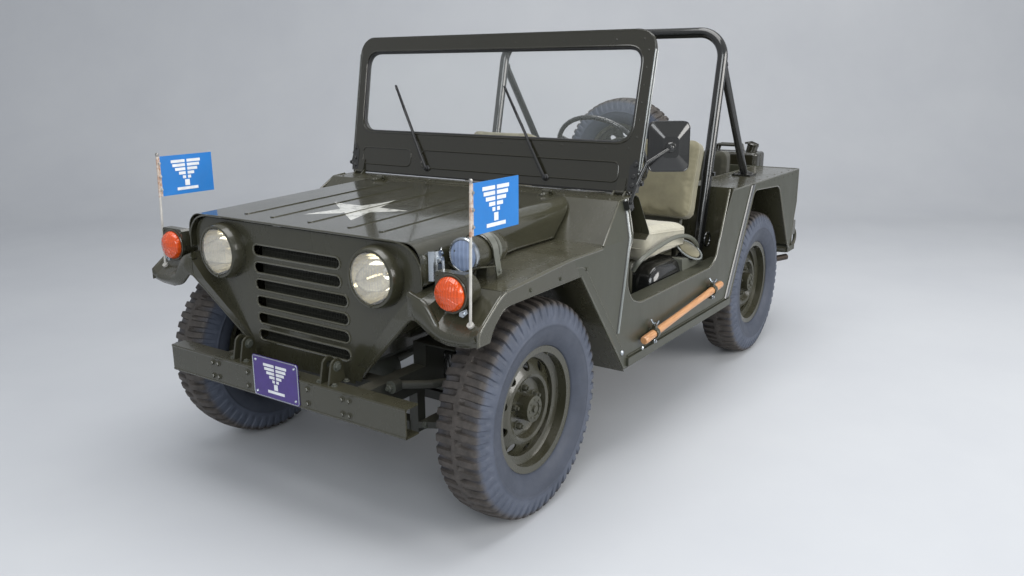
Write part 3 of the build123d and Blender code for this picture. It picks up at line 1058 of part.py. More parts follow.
# Exhaust: down-pipe, muffler under the left floor and a tailpipe over the rear arms
PIPE = 36
MUFFLER_FRONT_X = -1050
MUFFLER_REAR_X = REAR_AXLE_X + 609
with BuildPart() as exhaust:
    bar(((-290, 150, 600), (-290, 210, 600), (-290, 210, 450), (-560, 215, 286), (-700, 225, 286),
         (-860, 430, 286), (-980, 470, 350), (MUFFLER_FRONT_X - 10, 470, 350)), PIPE, bend=28)
    disc((MUFFLER_FRONT_X, 470, 350), (-1, 0, 0), 44, MUFFLER_FRONT_X - MUFFLER_REAR_X)
    bar([(REAR_AXLE_X + x, y, z) for x, y, z in (
        (619, 470, 350), (559, 470, 350), (439, 384, 380), (339, 384, 470), (-171, 384, 470), (-311, 400, 425),
        (-431, 540, 425), (-441, 700, 425), (-561, 745, 425))], PIPE, bend=28)
    block((-1320, 440, 385), (-1280, 500, FLOOR_Z - SHEET))
    block((REAR_AXLE_X - 151, 376, 480), (REAR_AXLE_X - 121, 392, REAR_FLOOR_Z - SHEET))
write(exhaust.part, "exhaust")
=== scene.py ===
from bisect import bisect_right
from itertools import product
from math import cos, pi, radians, sin

import bmesh
import bpy
from mathutils import Matrix, Vector


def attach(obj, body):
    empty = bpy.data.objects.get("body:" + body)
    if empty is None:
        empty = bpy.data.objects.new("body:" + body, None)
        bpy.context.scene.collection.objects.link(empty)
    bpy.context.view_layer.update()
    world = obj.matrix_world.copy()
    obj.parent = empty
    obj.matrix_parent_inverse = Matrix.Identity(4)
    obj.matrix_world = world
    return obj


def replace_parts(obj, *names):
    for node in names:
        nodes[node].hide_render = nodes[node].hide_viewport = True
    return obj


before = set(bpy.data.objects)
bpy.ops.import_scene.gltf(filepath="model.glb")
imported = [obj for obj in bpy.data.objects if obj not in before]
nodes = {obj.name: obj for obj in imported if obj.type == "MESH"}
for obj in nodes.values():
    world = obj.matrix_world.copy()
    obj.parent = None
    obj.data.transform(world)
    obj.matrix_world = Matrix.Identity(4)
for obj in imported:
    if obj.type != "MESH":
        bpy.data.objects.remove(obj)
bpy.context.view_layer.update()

# Places and lengths are in the drawing's millimetres, as in the part's source: X forward from the front
# axle, Y left from the centre plane, Z up from the ground. DRAWING turns them into the frame's metres.
DRAWING = Matrix.Translation((1.2020, -0.0525, 0.0)) @ Matrix.Scale(0.001, 4)
WHEELBASE = 2159
AXLE_Z, WHEEL_Y = 384, 673
REAR_X = -2700
BODY_HALF = 790
BELT_Z = 893
DECK_Z = 950
NOSE_X = 360
NOSE_FACE_X = 405
BUMPER_X = 491
FRONT, LEFT, UP = Vector((1, 0, 0)), Vector((0, 1, 0)), Vector((0, 0, 1))
SIDES = (1, -1)
HANDS = (("left", 1), ("right", -1))


def P(x, y, z):
    """Point or offset in the drawing."""
    return Vector((x, y, z))


# Materials
class Tree:
    """Short-hand for building one node material."""

    def __init__(self, name):
        self.mat = bpy.data.materials.new(name)
        self.mat.use_nodes = True
        self.nt = self.mat.node_tree
        self.bsdf = self.nt.nodes["Principled BSDF"]
        self.coord = self.node("TexCoord", {}).outputs["Object"]

    def feed(self, socket, value):
        """Links a node's output to a socket, or sets the socket's own value."""
        if isinstance(value, bpy.types.NodeSocket):
            self.nt.links.new(value, socket)
        else:
            socket.default_value = (*value, 1) if socket.type == "RGBA" else value

    def node(self, kind, inputs, **settings):
        """New node, with its inputs given by name or number."""
        n = self.nt.nodes.new("ShaderNode" + kind)
        for key, value in settings.items():
            setattr(n, key, value)
        for key, value in inputs.items():
            self.feed(n.inputs[key], value)
        return n

    def put(self, **values):
        for key, value in values.items():
            self.feed(self.bsdf.inputs[key.replace("_", " ")], value)

    def noise(self, scale, detail, rough, stretch=None, distortion=0.0):
        at = self.coord
        if stretch:
            at = self.node("Mapping", {"Vector": at, "Scale": stretch}).outputs[0]
        return self.node("TexNoise", {"Vector": at, "Scale": scale, "Detail": detail, "Roughness": rough,
                                      "Distortion": distortion}).outputs["Fac"]

    def ramp(self, value, *stops):
        n = self.node("ValToRGB", {"Fac": value})
        els = n.color_ramp.elements
        while len(els) < len(stops):
            els.new(0.5)
        for el, (pos, col) in zip(els, stops):
            el.position = pos
            el.color = (*col, 1) if isinstance(col, tuple) else (col, col, col, 1)
        return n.outputs["Color"]

    def cloud(self, scale, detail, rough, low, high, ends=(0.3, 0.7), **more):
        """Noise that runs from a low to a high value or colour."""
        return self.ramp(self.noise(scale, detail, rough, **more), (ends[0], low), (ends[1], high))

    def math(self, op, *values):
        return self.node("Math", dict(enumerate(values)), operation=op).outputs["Value"]

    def mix(self, fac, a, b):
        """Blend of two colours, which are inputs 6 and 7 of the node."""
        return self.node("Mix", {0: fac, 6: a, 7: b}, data_type="RGBA").outputs[2]

    def split(self, vector):
        return self.node("SeparateXYZ", {0: vector}).outputs

    def offset(self, centre):
        """Parts of the way from a centre in the drawing."""
        at = DRAWING @ Vector(centre)
        return self.split(self.node("VectorMath", {0: self.coord, 1: at}, operation="SUBTRACT").outputs[0])

    def length(self, a, b):
        return self.math("SQRT", self.math("ADD", self.math("MULTIPLY", a, a), self.math("MULTIPLY", b, b)))

    def facing_up(self):
        return self.split(self.node("NewGeometry", {}).outputs["Normal"])[2]

    def bump(self, height, strength, distance):
        n = self.node("Bump", {"Strength": strength, "Distance": distance, "Height": height})
        if self.bsdf.inputs["Normal"].is_linked:
            self.feed(n.inputs["Normal"], self.bsdf.inputs["Normal"].links[0].from_socket)
        self.put(Normal=n.outputs["Normal"])


def shade(base, factor):
    return tuple(min(1.0, c * factor) for c in base)


DUST = (0.30, 0.27, 0.20)
STAR_WHITE = (0.72, 0.72, 0.66)
STAR_CENTRE = (46, -10, 0)
STAR_REACH = 0.20


def paint(name, base, rough_low, rough_high, dust=0.1, star=None, coat=0.5):
    """Brushed gloss enamel over pressed steel: waviness, faint stains and dust on upward faces."""
    t = Tree(name)
    warm = (base[0] * 1.5 + 0.008, base[1] * 1.42 + 0.006, base[2] * 1.25 + 0.003)
    col = t.cloud(2.6, 5, 0.6, shade(base, 0.9), shade(base, 1.1))
    col = t.mix(t.cloud(46, 6, 0.7, 0.0, 0.10, (0.52, 0.75)), col, warm)
    if star:
        col = star(t, col)
    dusty = t.math("MULTIPLY", t.ramp(t.facing_up(), (0.35, 0.0), (1.0, dust)), t.cloud(9, 6, 0.7, 0.25, 1.0))
    t.put(Base_Color=t.mix(dusty, col, DUST), Coat_Weight=coat, Coat_Roughness=0.07,
          Roughness=t.cloud(7, 6, 0.7, rough_low, rough_high, (0.3, 0.75), stretch=(1, 1, 0.35)))
    t.bump(t.noise(5.5, 2, 0.4), 0.16, 0.004)
    t.bump(t.noise(700, 2, 0.6), 0.05, 0.0003)
    return t.mat


def star_mask(t, col):
    """Five-pointed white star painted on the hood, worn thin."""
    x, y, _ = t.offset(STAR_CENTRE)
    seg = 2 * pi / 5
    around = t.math("ADD", t.math("ARCTAN2", y, x), seg * 10.5)
    folded = t.math("SUBTRACT", t.math("MODULO", around, seg), seg / 2)
    edge = t.math("COSINE", t.math("ADD", t.math("ABSOLUTE", folded), radians(36)))
    inside = t.math("LESS_THAN", t.math("MULTIPLY", t.length(x, y), edge), STAR_REACH * cos(radians(72)))
    worn = t.cloud(34, 7, 0.75, 0.25, 0.95, (0.34, 0.5))
    up = t.ramp(t.facing_up(), (0.8, 0.0), (0.9, 1.0))
    return t.mix(t.math("MULTIPLY", t.math("MULTIPLY", inside, worn), up), col, STAR_WHITE)


def metal(name, base, rough_low, rough_high):
    t = Tree(name)
    n = t.noise(40, 5, 0.65)
    t.put(Base_Color=t.ramp(n, (0.3, shade(base, 0.75)), (0.7, base)), Metallic=1.0,
          Roughness=t.cloud(18, 5, 0.7, rough_low, rough_high))
    t.bump(n, 0.15, 0.0003)
    return t.mat


def plain(name, base, rough, **extra):
    t = Tree(name)
    t.put(Base_Color=t.cloud(24, 5, 0.65, shade(base, 0.85), shade(base, 1.1)),
          Roughness=t.cloud(60, 4, 0.6, rough * 0.85, rough * 1.15), **extra)
    t.bump(t.noise(300, 3, 0.6), 0.1, 0.0003)
    return t.mat


def rubber(name, centre, first):
    """Tyre rubber: brown-black lugs and a dusty blue-grey sidewall, by distance from the hub."""
    t = Tree(name)
    parts = t.offset(centre)
    rad = t.length(parts[first], parts[2])
    side = t.mix(t.ramp(rad, (0.296, 0.45), (0.303, 0.0)),
                 t.cloud(6, 6, 0.7, (0.048, 0.058, 0.082), (0.088, 0.102, 0.138)), (0.022, 0.026, 0.036))
    tread = t.cloud(30, 6, 0.7, (0.034, 0.030, 0.027), (0.085, 0.074, 0.066))
    t.put(Base_Color=t.mix(t.ramp(rad, (0.352, 0.0), (0.372, 1.0)), side, tread),
          Roughness=t.cloud(20, 5, 0.7, 0.5, 0.72), Specular_IOR_Level=0.4)
    t.bump(t.math("SINE", t.math("MULTIPLY", rad, 900.0)), 0.05, 0.0004)
    t.bump(t.ramp(rad, (0.292, 0.0), (0.297, 1.0), (0.301, 1.0), (0.306, 0.0)), 0.6, 0.003)
    t.bump(t.noise(260, 4, 0.7), 0.25, 0.0006)
    return t.mat


def window_glass(name, tint, alpha):
    t = Tree(name)
    t.put(Base_Color=t.cloud(3, 3, 0.5, tint, shade(tint, 1.05)), Roughness=0.02, IOR=1.45, Alpha=alpha,
          Specular_IOR_Level=0.6)
    return t.mat


def lens(name, base, scale, rough=0.1, alpha=1.0):
    """Pressed lamp glass with crossed flutes."""
    t = Tree(name)
    _, y, z = t.split(t.coord)
    wave = t.math("SINE", t.math("MULTIPLY", y, scale))
    cross = t.math("SINE", t.math("MULTIPLY", z, scale * 0.45))
    t.put(Base_Color=t.ramp(wave, (0.0, shade(base, 0.82)), (1.0, base)), IOR=1.5, Alpha=alpha,
          Roughness=t.cloud(30, 3, 0.5, rough, rough * 1.6), Coat_Weight=0.6, Coat_Roughness=0.04)
    t.bump(t.math("ADD", wave, cross), 0.5, 0.0008)
    return t.mat


WEAVE = 2300


def canvas(name, base):
    """Plain-woven cotton canvas, sun-faded, with soft stains."""
    t = Tree(name)
    wx, wy, wz = [t.math("SINE", t.math("MULTIPLY", part, WEAVE)) for part in t.split(t.coord)]
    cloth = t.math("ADD", t.math("MULTIPLY", wx, wy), t.math("MULTIPLY", wy, wz))
    col = t.ramp(t.noise(7, 6, 0.65), (0.28, shade(base, 0.72)), (0.55, base), (0.8, shade(base, 1.12)))
    t.put(Base_Color=t.mix(t.ramp(cloth, (0.0, 0.0), (1.0, 0.25)), col, shade(base, 0.6)),
          Roughness=0.88, Sheen_Weight=0.25, Sheen_Roughness=0.5, Specular_IOR_Level=0.25)
    t.bump(cloth, 0.22, 0.0004)
    t.bump(t.noise(26, 5, 0.6), 0.35, 0.0016)
    return t.mat


def wood_grain(name):
    t = Tree(name)
    grain = t.noise(9, 7, 0.65, stretch=(0.8, 14, 14), distortion=1.2)
    col = t.ramp(grain, (0.25, (0.30, 0.125, 0.048)), (0.5, (0.50, 0.25, 0.11)), (0.75, (0.60, 0.34, 0.17)))
    t.put(Base_Color=col, Roughness=t.ramp(grain, (0.3, 0.32), (0.7, 0.48)),
          Coat_Weight=0.3, Coat_Roughness=0.15)
    t.bump(grain, 0.2, 0.0006)
    return t.mat


def staff_and_plate(name, staff_edge, plate_low, plate_colour):
    """Painted plate behind a pale worn sleeve along its front edge, on a pale staff."""
    t = Tree(name)
    x, _, z = t.split(t.coord)
    sleeve = t.cloud(70, 5, 0.75, (0.55, 0.50, 0.44), (0.36, 0.20, 0.13), (0.40, 0.62))
    staff = t.cloud(40, 4, 0.6, (0.42, 0.41, 0.38), (0.56, 0.55, 0.51))
    flat = t.cloud(6, 4, 0.6, shade(plate_colour, 0.92), shade(plate_colour, 1.08))
    upper = t.mix(t.math("GREATER_THAN", x, staff_edge), flat, sleeve)
    t.put(Base_Color=t.mix(t.math("LESS_THAN", z, plate_low), upper, staff),
          Roughness=t.cloud(30, 4, 0.6, 0.32, 0.5))
    t.bump(t.noise(300, 3, 0.6), 0.1, 0.0003)
    return t.mat


OLIVE = (0.036, 0.035, 0.021)
green = paint("olive_enamel", OLIVE, 0.20, 0.36, coat=0.35)
side_paint = paint("olive_enamel_side", (0.040, 0.042, 0.028), 0.34, 0.50, dust=0.05, coat=0.12)
deep_paint = paint("olive_enamel_deep", (0.018, 0.017, 0.010), 0.16, 0.30, dust=0.04)
# Pale grey enamel that paints bright highlight lines on the corner beads, the windshield post channels and the
# filler ring
highlight_paint = paint("painted_highlight_enamel", (0.20, 0.215, 0.21), 0.12, 0.25, dust=0.0)
# Lighter olive for rolled edges and rims: rubbed wear, and partly a painted highlight along them
edge_wear_and_highlight_paint = paint("olive_enamel_edge_wear_and_highlight", (0.066, 0.064, 0.044), 0.14, 0.26, dust=0.0, coat=0.6)
green_dull = paint("olive_enamel_dull", (0.040, 0.040, 0.026), 0.40, 0.60, dust=0.2, coat=0.1)
hood_paint = paint("olive_enamel_star", OLIVE, 0.12, 0.28, dust=0.05, star=star_mask, coat=0.7)
strap_paint = paint("strap_enamel", (0.11, 0.115, 0.095), 0.3, 0.5, coat=0.2)
gloss_black = paint("black_enamel", (0.012, 0.0125, 0.012), 0.08, 0.24, dust=0.05)
dark_steel = paint("chassis_paint", (0.026, 0.027, 0.021), 0.45, 0.7, dust=0.25, coat=0.05)
cast = paint("painted_casting", (0.055, 0.060, 0.048), 0.5, 0.75, dust=0.2, coat=0.05)
chrome = metal("polished_steel", (0.72, 0.72, 0.70), 0.08, 0.2)
steel = metal("worn_steel", (0.42, 0.41, 0.39), 0.28, 0.5)
zinc = metal("zinc_plate", (0.52, 0.56, 0.60), 0.18, 0.36)
burnt = metal("heated_steel", (0.075, 0.062, 0.052), 0.4, 0.65)
mirror_glass = metal("mirror_silver", (0.85, 0.87, 0.88), 0.02, 0.05)
reflector = metal("reflector_silver", (0.98, 0.93, 0.80), 0.05, 0.13)
black_plastic = plain("black_plastic", (0.016, 0.016, 0.017), 0.4)
seal_rubber = plain("seal_rubber", (0.020, 0.020, 0.021), 0.6)
purple = plain("purple_enamel", (0.050, 0.022, 0.190), 0.35, Coat_Weight=0.3)
white_paint = plain("white_enamel", (0.74, 0.76, 0.78), 0.4, Coat_Weight=0.2)
dial_face = plain("dial_face", (0.02, 0.02, 0.021), 0.3)
pennant_paint = staff_and_plate("pennant_paint", 1.555, 1.042, (0.008, 0.165, 0.500))
window = window_glass("window_glass", (0.60, 0.64, 0.62), 0.06)
amber = lens("amber_lens", (0.74, 0.080, 0.003), 700)
headlamp_glass = lens("headlamp_glass", (0.95, 0.95, 0.92), 900, 0.03, alpha=0.22)
red = lens("red_lens", (0.30, 0.01, 0.008), 800)
smoke = lens("blackout_lens", (0.30, 0.38, 0.56), 400, 0.15)
tan = canvas("tan_canvas", (0.185, 0.170, 0.110))
cream = canvas("cream_canvas", (0.43, 0.41, 0.325))
faded = canvas("faded_canvas", (0.25, 0.235, 0.165))
dark_canvas = canvas("dark_canvas", (0.040, 0.039, 0.027))
wood = wood_grain("varnished_wood")


# Mesh helpers
def new_object(name, bm, mats):
    mesh = bpy.data.meshes.new(name)
    bmesh.ops.recalc_face_normals(bm, faces=bm.faces)
    bm.to_mesh(mesh)
    bm.free()
    obj = bpy.data.objects.new(name, mesh)
    bpy.context.scene.collection.objects.link(obj)
    for mat in mats:
        mesh.materials.append(mat)
    mesh.shade_smooth()
    return obj


def finish(name, bm, *mats, body="chassis", smooth=35):
    """Makes a piece of what was drawn, with its materials by slot, and lets it ride a body."""
    bmesh.ops.transform(bm, matrix=DRAWING, verts=bm.verts)
    obj = new_object(name, bm, mats)
    obj.data.set_sharp_from_angle(angle=radians(smooth))
    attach(obj, body)
    return obj


def basis(axis, hint=UP):
    """Two directions across an axis, and the axis."""
    axis = Vector(axis).normalized()
    if abs(axis.dot(hint)) > 0.95:
        hint = FRONT
    u = hint.cross(axis).normalized()
    return u, axis.cross(u), axis


def heading(u, v, degrees):
    """Direction at an angle from u towards v."""
    return u * cos(radians(degrees)) + v * sin(radians(degrees))


def spokes(count, u, v, turn=0.0):
    return [heading(u, v, 360 * k / count + turn) for k in range(count)]


def arc(centre, u, v, radius, start, end, steps):
    """Points of an arc, between two angles in degrees from u towards v."""
    return [centre + heading(u, v, start + (end - start) * k / steps) * radius for k in range(steps + 1)]


def rect(middle, u, half_u, v, half_v):
    return [middle + u * half_u * a + v * half_v * b for a, b in ((-1, -1), (1, -1), (1, 1), (-1, 1))]


def at_y(y, *places):
    """Points given by X and Z in one plane along the car."""
    return [P(x, y, z) for x, z in places]


def rounded(points, reach, closed=False, steps=6):
    """Points with each corner turned into a short curve that starts a reach before it."""
    pts = [Vector(p) for p in points]
    out = []
    for i, p in enumerate(pts):
        if not closed and i in (0, len(pts) - 1):
            out.append(p)
            continue
        a, b = pts[i - 1] - p, pts[(i + 1) % len(pts)] - p
        start = p + a.normalized() * min(reach, a.length * 0.49)
        end = p + b.normalized() * min(reach, b.length * 0.49)
        for t in (k / steps for k in range(steps + 1)):
            out.append(start * (1 - t) ** 2 + p * (2 * t * (1 - t)) + end * t * t)
    return out


def even_path(points, count, smooth, closed=False):
    """Points at an even spacing along a line, with its corners softened."""
    points = [*points, points[0]] if closed else points
    lengths = [0.0]
    for a, b in zip(points, points[1:]):
        lengths.append(lengths[-1] + (b - a).length)
    out = []
    for k in range(count if closed else count + 1):
        goal = lengths[-1] * k / count
        i = min(bisect_right(lengths, goal) - 1, len(points) - 2)
        out.append(points[i].lerp(points[i + 1], (goal - lengths[i]) / (lengths[i + 1] - lengths[i])))
    for turn in range(smooth):
        soft = [(out[i - 1] + out[i] * 2 + out[(i + 1) % len(out)]) / 4 for i in range(len(out))]
        out = soft if closed else [out[0], *soft[1:-1], out[-1]]
    return out


def cap(bm, *rings, slot=0):
    for ring in rings:
        bm.faces.new(ring).material_index = slot


def join_rings(bm, rings, slot=0):
    """Faces between rings in a row, any of which may be one point."""
    for low, high in zip(rings, rings[1:]):
        count = max(len(low), len(high))
        for i in range(count):
            j = (i + 1) % count
            corners = [low[i % len(low)], low[j % len(low)], high[j % len(high)], high[i % len(high)]]
            corners = list(dict.fromkeys(corners))
            if len(corners) > 2:
                bm.faces.new(corners).material_index = slot


def sheet(bm, rows):
    """Open sheet through rows of points."""
    rows = [[bm.verts.new(p) for p in row] for row in rows]
    for a, b in zip(rows, rows[1:]):
        for i in range(len(a) - 1):
            bm.faces.new((a[i], a[i + 1], b[i + 1], b[i]))


def ring_at(bm, centre, u, v, radius, segments):
    return [bm.verts.new(centre + way * radius) for way in spokes(segments, u, v)]


def lathe(bm, profile, centre, axis, segments=32, slot=0):
    """Turns (radius, along) points about an axis. Zero radius closes the end."""
    u, v, w = basis(axis)
    rings = []
    for r, along in profile:
        at = Vector(centre) + w * along
        rings.append(ring_at(bm, at, u, v, r, segments) if r else [bm.verts.new(at)])
    join_rings(bm, rings, slot)


def box(bm, centre, size, turn=Matrix.Identity(3), slot=0):
    made = bmesh.ops.create_cube(bm, size=1)["verts"]
    m = Matrix.Translation(centre) @ turn.to_4x4() @ Matrix.Diagonal((*size, 1))
    bmesh.ops.transform(bm, matrix=m, verts=made)
    for face in {f for v in made for f in v.link_faces}:
        face.material_index = slot


def plate(bm, outline, depth, slot=0):
    """Flat plate from an outline of points and a vector of its depth."""
    low = [bm.verts.new(p) for p in outline]
    high = [bm.verts.new(p + depth) for p in outline]
    cap(bm, low, high, slot=slot)
    join_rings(bm, [low, high], slot)


def rod(bm, points, radius, segments=10, slot=0, closed=False, bend=0, steps=6):
    """Round rod through points, of one radius or of one for each point, with its corners bent round."""
    pts = rounded(points, bend, closed, steps) if bend else [Vector(p) for p in points]
    count = len(pts)
    radii = radius if isinstance(radius, tuple) else (radius,) * count
    rings, u = [], None
    for i, p in enumerate(pts):
        before = pts[i - 1] if (i or closed) else p
        after = pts[(i + 1) % count] if (i < count - 1 or closed) else p
        way = (after - before).normalized()
        u = basis(way)[0] if u is None else (u - way * u.dot(way)).normalized()
        rings.append(ring_at(bm, p, u, way.cross(u), radii[i], segments))
    if closed:
        rings.append(rings[0])
    else:
        cap(bm, rings[0], rings[-1], slot=slot)
    join_rings(bm, rings, slot)


def strap(bm, points, across, thickness, slot=0, bend=0):
    """Flat band through points, as wide as the vector across."""
    pts = rounded(points, bend) if bend else [Vector(p) for p in points]
    rows = []
    for i, p in enumerate(pts):
        way = pts[min(i + 1, len(pts) - 1)] - pts[max(i - 1, 0)]
        lift, half = way.cross(across).normalized() * thickness / 2, across / 2
        rows.append([bm.verts.new(p + half * a + lift * b) for a, b in ((-1, -1), (1, -1), (1, 1), (-1, 1))])
    join_rings(bm, rows, slot)
    cap(bm, rows[0], rows[-1], slot=slot)


def bolt(bm, centre, normal, r=7, h=5, washer=True, slot=0):
    """Hexagon head on a washer, chamfered, seated on its surface."""
    c = Vector(centre)
    if washer:
        lathe(bm, ((r * 1.35, -0.5), (r * 1.35, 0.8), (r * 1.25, 1.4), (0, 1.4)), c, normal, 16, slot)
        c = c + Vector(normal).normalized() * 1.2
    lathe(bm, ((r, -0.5), (r, h * 0.75), (r * 0.82, h), (0, h)), c, normal, 6, slot)


def bolts(bm, xs, ys, zs, normal, r, h, slot=0):
    """Bolts at every combination of the places given along each axis."""
    for centre in product(*(v if isinstance(v, tuple) else (v,) for v in (xs, ys, zs))):
        bolt(bm, centre, normal, r, h, slot=slot)


def rivet(bm, centre, normal, r=5, h=2.2):
    lathe(bm, ((r, -0.5), (r * 0.92, h * 0.45), (r * 0.62, h * 0.85), (0, h)), centre, normal, 12)


def rivets(bm, start, end, count, normal, r=4.5):
    for k in range(count):
        rivet(bm, Vector(start).lerp(Vector(end), k / (count - 1)), normal, r)


def dress(mat, *names):
    """Gives CAD nodes a material, and smooth shading across their curved faces."""
    for name in names:
        mesh = nodes[name].data
        mesh.materials.clear()
        mesh.materials.append(mat)
        mesh.shade_smooth()
        mesh.set_sharp_from_angle(angle=radians(28))


# Materials on the CAD nodes
dress(side_paint, "body_left", "body_right", "rear_panel", "rear_carriers")
dress(deep_paint, "windshield_frame", "jerrycan")
dress(green, "fender_left", "fender_right", "grille_panel", "cowl", "front_bumper", "rear_lamps",
      "marker_lamps", "wheelhouses", "blackout_lamp", "rim_front_left", "rim_front_right", "rim_rear_left",
      "rim_rear_right", "rim_spare")
dress(hood_paint, "hood")
dress(green_dull, "floor_pan", "rear_bumper", "seat_frames")
dress(gloss_black, "roll_bar", "fuel_tank", "steering_wheel", "driver_controls", "mirror")
dress(dark_steel, "underframe", "suspension_arms", "knuckle_left", "knuckle_right", "radiator")
dress(cast, "engine", "driveline")
dress(burnt, "exhaust")
dress(window, "windshield_glass")
dress(pennant_paint, "pennants")
dress(purple, "bumper_plate")

# Tyres with transverse lugs, and the hardware on the hubs
SPARE_HUB = P(REAR_X - 103, -385, 947)
WHEELS = [("%s_%s" % (end, hand), P(x, side * WHEEL_Y, AXLE_Z), LEFT * side, "wheel_%s_%s" % (end, hand))
          for end, x in (("front", 0), ("rear", -WHEELBASE)) for hand, side in HANDS]
WHEELS.append(("spare", SPARE_HUB, -FRONT, "chassis"))
LUGS = 54
# (across, radius, groove depth) from the middle of the tread down to the bead
TYRE_PROFILE = (
    (0, 384, 0), (7, 383.8, 0), (10, 383.6, 10), (24, 383, 11.5), (44, 381, 12), (62, 378, 12),
    (72, 375.5, 12), (78, 371, 12), (82, 363, 11.5), (86, 351, 10), (89, 340, 8), (91.5, 328, 4.5),
    (93, 318, 1.5), (93.8, 311, 0), (94.5, 300, 0), (95, 288, 0), (94, 274, 0), (91, 260, 0), (86, 247, 0),
    (79, 236, 0), (71.5, 228, 0), (69, 225, 0), (62, 222.6, 0), (55.5, 222.4, 0),
)
# Round one pitch, as (share of the pitch, share of the groove depth)
LUG_STEPS = ((0, 1), (0.04, 0.55), (0.09, 0), (0.30, 0), (0.56, 0), (0.62, 0.5), (0.66, 1), (0.83, 1))
TYRE_HALF, SHOULDER, MIDDLE_RIB = 95, 70, 16
LUG_BOLT = ((17, -1), (17, 2), (13.5, 3), (0, 3))
LUG_NUT = ((11.5, 2), (11.5, 16), (9, 20), (6.5, 20), (6.5, 27), (0, 27))
HUB_CAP = ((46, 51.5), (46, 53.5), (40, 56), (26, 56), (26, 53), (12, 53), (12, 60), (0, 61))
VALVE = ((4.5, -30), (4.5, 0), (3.2, 1), (3.2, 10), (0, 11))


def tyre_mesh(name, centre, axis, mat, body):
    """Tyre with a row of lugs on each side of a middle rib, half a pitch apart."""
    bm = bmesh.new()
    u, v, w = basis(axis)
    pitch = 360 / LUGS
    for side in SIDES:
        rows = []
        for a, r, deep in TYRE_PROFILE:
            ring = []
            lean = max(0.0, (a - SHOULDER) / (TYRE_HALF - SHOULDER))
            skew = (0.5 if side < 0 else 0.0) + 0.18 * (a / TYRE_HALF) ** 2
            for lug, (share, down) in product(range(LUGS), LUG_STEPS):
                cut = 0.0 if (a < MIDDLE_RIB and lug % 2) else down * deep
                way = heading(u, v, pitch * (lug + share + skew))
                at = w * (a - cut * 0.65 * lean) * side + way * (r - cut * (1 - 0.65 * lean))
                ring.append(bm.verts.new(centre + at))
            rows.append(ring)
        join_rings(bm, rows)
    bmesh.ops.remove_doubles(bm, verts=bm.verts, dist=0.15)
    return finish(name, bm, mat, body=body, smooth=32)


for wheel, c, out, body in WHEELS:
    mat = rubber("rubber_" + wheel, c, 1 if wheel == "spare" else 0)
    tyre = tyre_mesh("tyre_%s_tread" % wheel, c, out, mat, body)
    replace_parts(tyre, "tyre_" + wheel)
    bm = bmesh.new()
    u, v, w = basis(out)
    for way in spokes(5, u, v, 20.0535):
        lathe(bm, LUG_BOLT, c + way * 70 + w * 7.2, w, 20)
        lathe(bm, LUG_NUT, c + way * 70 + w * 7.2, w, 6)
    lathe(bm, HUB_CAP, c, w)
    for way in spokes(8, u, v):
        bolt(bm, c + way * 33.5 + w * 55.8, w, 4.2, 3, washer=False)
    away = heading(u, v, 68.755)
    lathe(bm, VALVE, c + away * 196 + w * 52, w - away * 0.45, 12)
    finish("hub_hardware_" + wheel, bm, dark_steel if wheel == "spare" else green_dull, body=body)

# Front: grille, radiator and headlamps
SLOT_LOW_Z, SLOT_PITCH, SLOT_R, SLOT_HALF = 584, 62.5, 21, 230
LAMP_Y, LAMP_Z = 375, 878
BEZEL = ((80, -3), (103.5, -3), (104, 8), (103, 14), (97, 42), (94, 47), (90, 48.5), (86, 48), (84.5, 44),
         (84, 20), (80, 18), (80, -3))
SHELL = ((82, -3), (86, -30), (84, -62), (64, -92), (40, -112), (0, -119))
LAMP_SEAL = ((101, -8), (104, -3), (101, 2), (98, -3), (101, -8))
BOWL = ((83.5, 40), (80, 22), (70, -20), (52, -58), (30, -78), (12, -84), (0, -85))
BULB = ((0, -20), (8, -22), (9, -34), (6, -70), (6, -84))
GLASS = ((84, 43), (83, 46.5), (72, 53), (56, 58), (36, 61.5), (16, 63), (0, 63.4))

bm = bmesh.new()
for row in range(6):
    z = SLOT_LOW_Z + row * SLOT_PITCH
    left = SLOT_HALF - 28 if row >= 4 else SLOT_HALF
    rod(bm, arc(P(NOSE_X, left - SLOT_R, z), UP, LEFT, SLOT_R, 0, 180, 8)
        + arc(P(NOSE_X, SLOT_R - SLOT_HALF, z), UP, LEFT, SLOT_R, 180, 360, 8), 4.2, 8, closed=True)
# Slot rims in the lighter edge paint: rubbed wear and a painted highlight
finish("grille_slot_edges", bm, edge_wear_and_highlight_paint)

bm = bmesh.new()
for i in range(57):
    box(bm, (327, i * 432 / 56 - 216, 722), (6, 1.4, 405))
for z in range(530, 926, 18):
    box(bm, (327, 0, z), (4, 438, 1.6))
for z in (512, 928):
    box(bm, (326, 0, z), (12, 452, 12))
finish("radiator_core", bm, dark_steel)

bodies, bowls, glasses = bmesh.new(), bmesh.new(), bmesh.new()
for side in SIDES:
    c = P(NOSE_X, side * LAMP_Y, LAMP_Z)
    for mesh, profile, segments in ((bodies, BEZEL, 72), (bodies, SHELL, 48), (bodies, LAMP_SEAL, 72),
                                    (bowls, BOWL, 64), (bowls, BULB, 24), (glasses, GLASS, 64)):
        lathe(mesh, profile, c, FRONT, segments)
    bolt(bodies, c + P(48.5, 0, -89), FRONT, 4.5, 4)
    for angle in (40, 160, 280):
        rivet(bodies, c + heading(LEFT, UP, angle) * 92 + FRONT * 48, FRONT, 3, 1)
    for y in range(-55, 56, 11):
        half = (66 ** 2 - y ** 2) ** 0.5 * 0.93
        flute = [c + P(60.6 - (y * y + h * h) / 560, y, h) for h in (-half, -half / 2, 0, half / 2, half)]
        rod(glasses, flute, 1.9, 6)
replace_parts(finish("headlamp_bodies", bodies, green), "headlamps")
finish("headlamp_reflectors", bowls, reflector)
finish("headlamp_lenses", glasses, headlamp_glass)

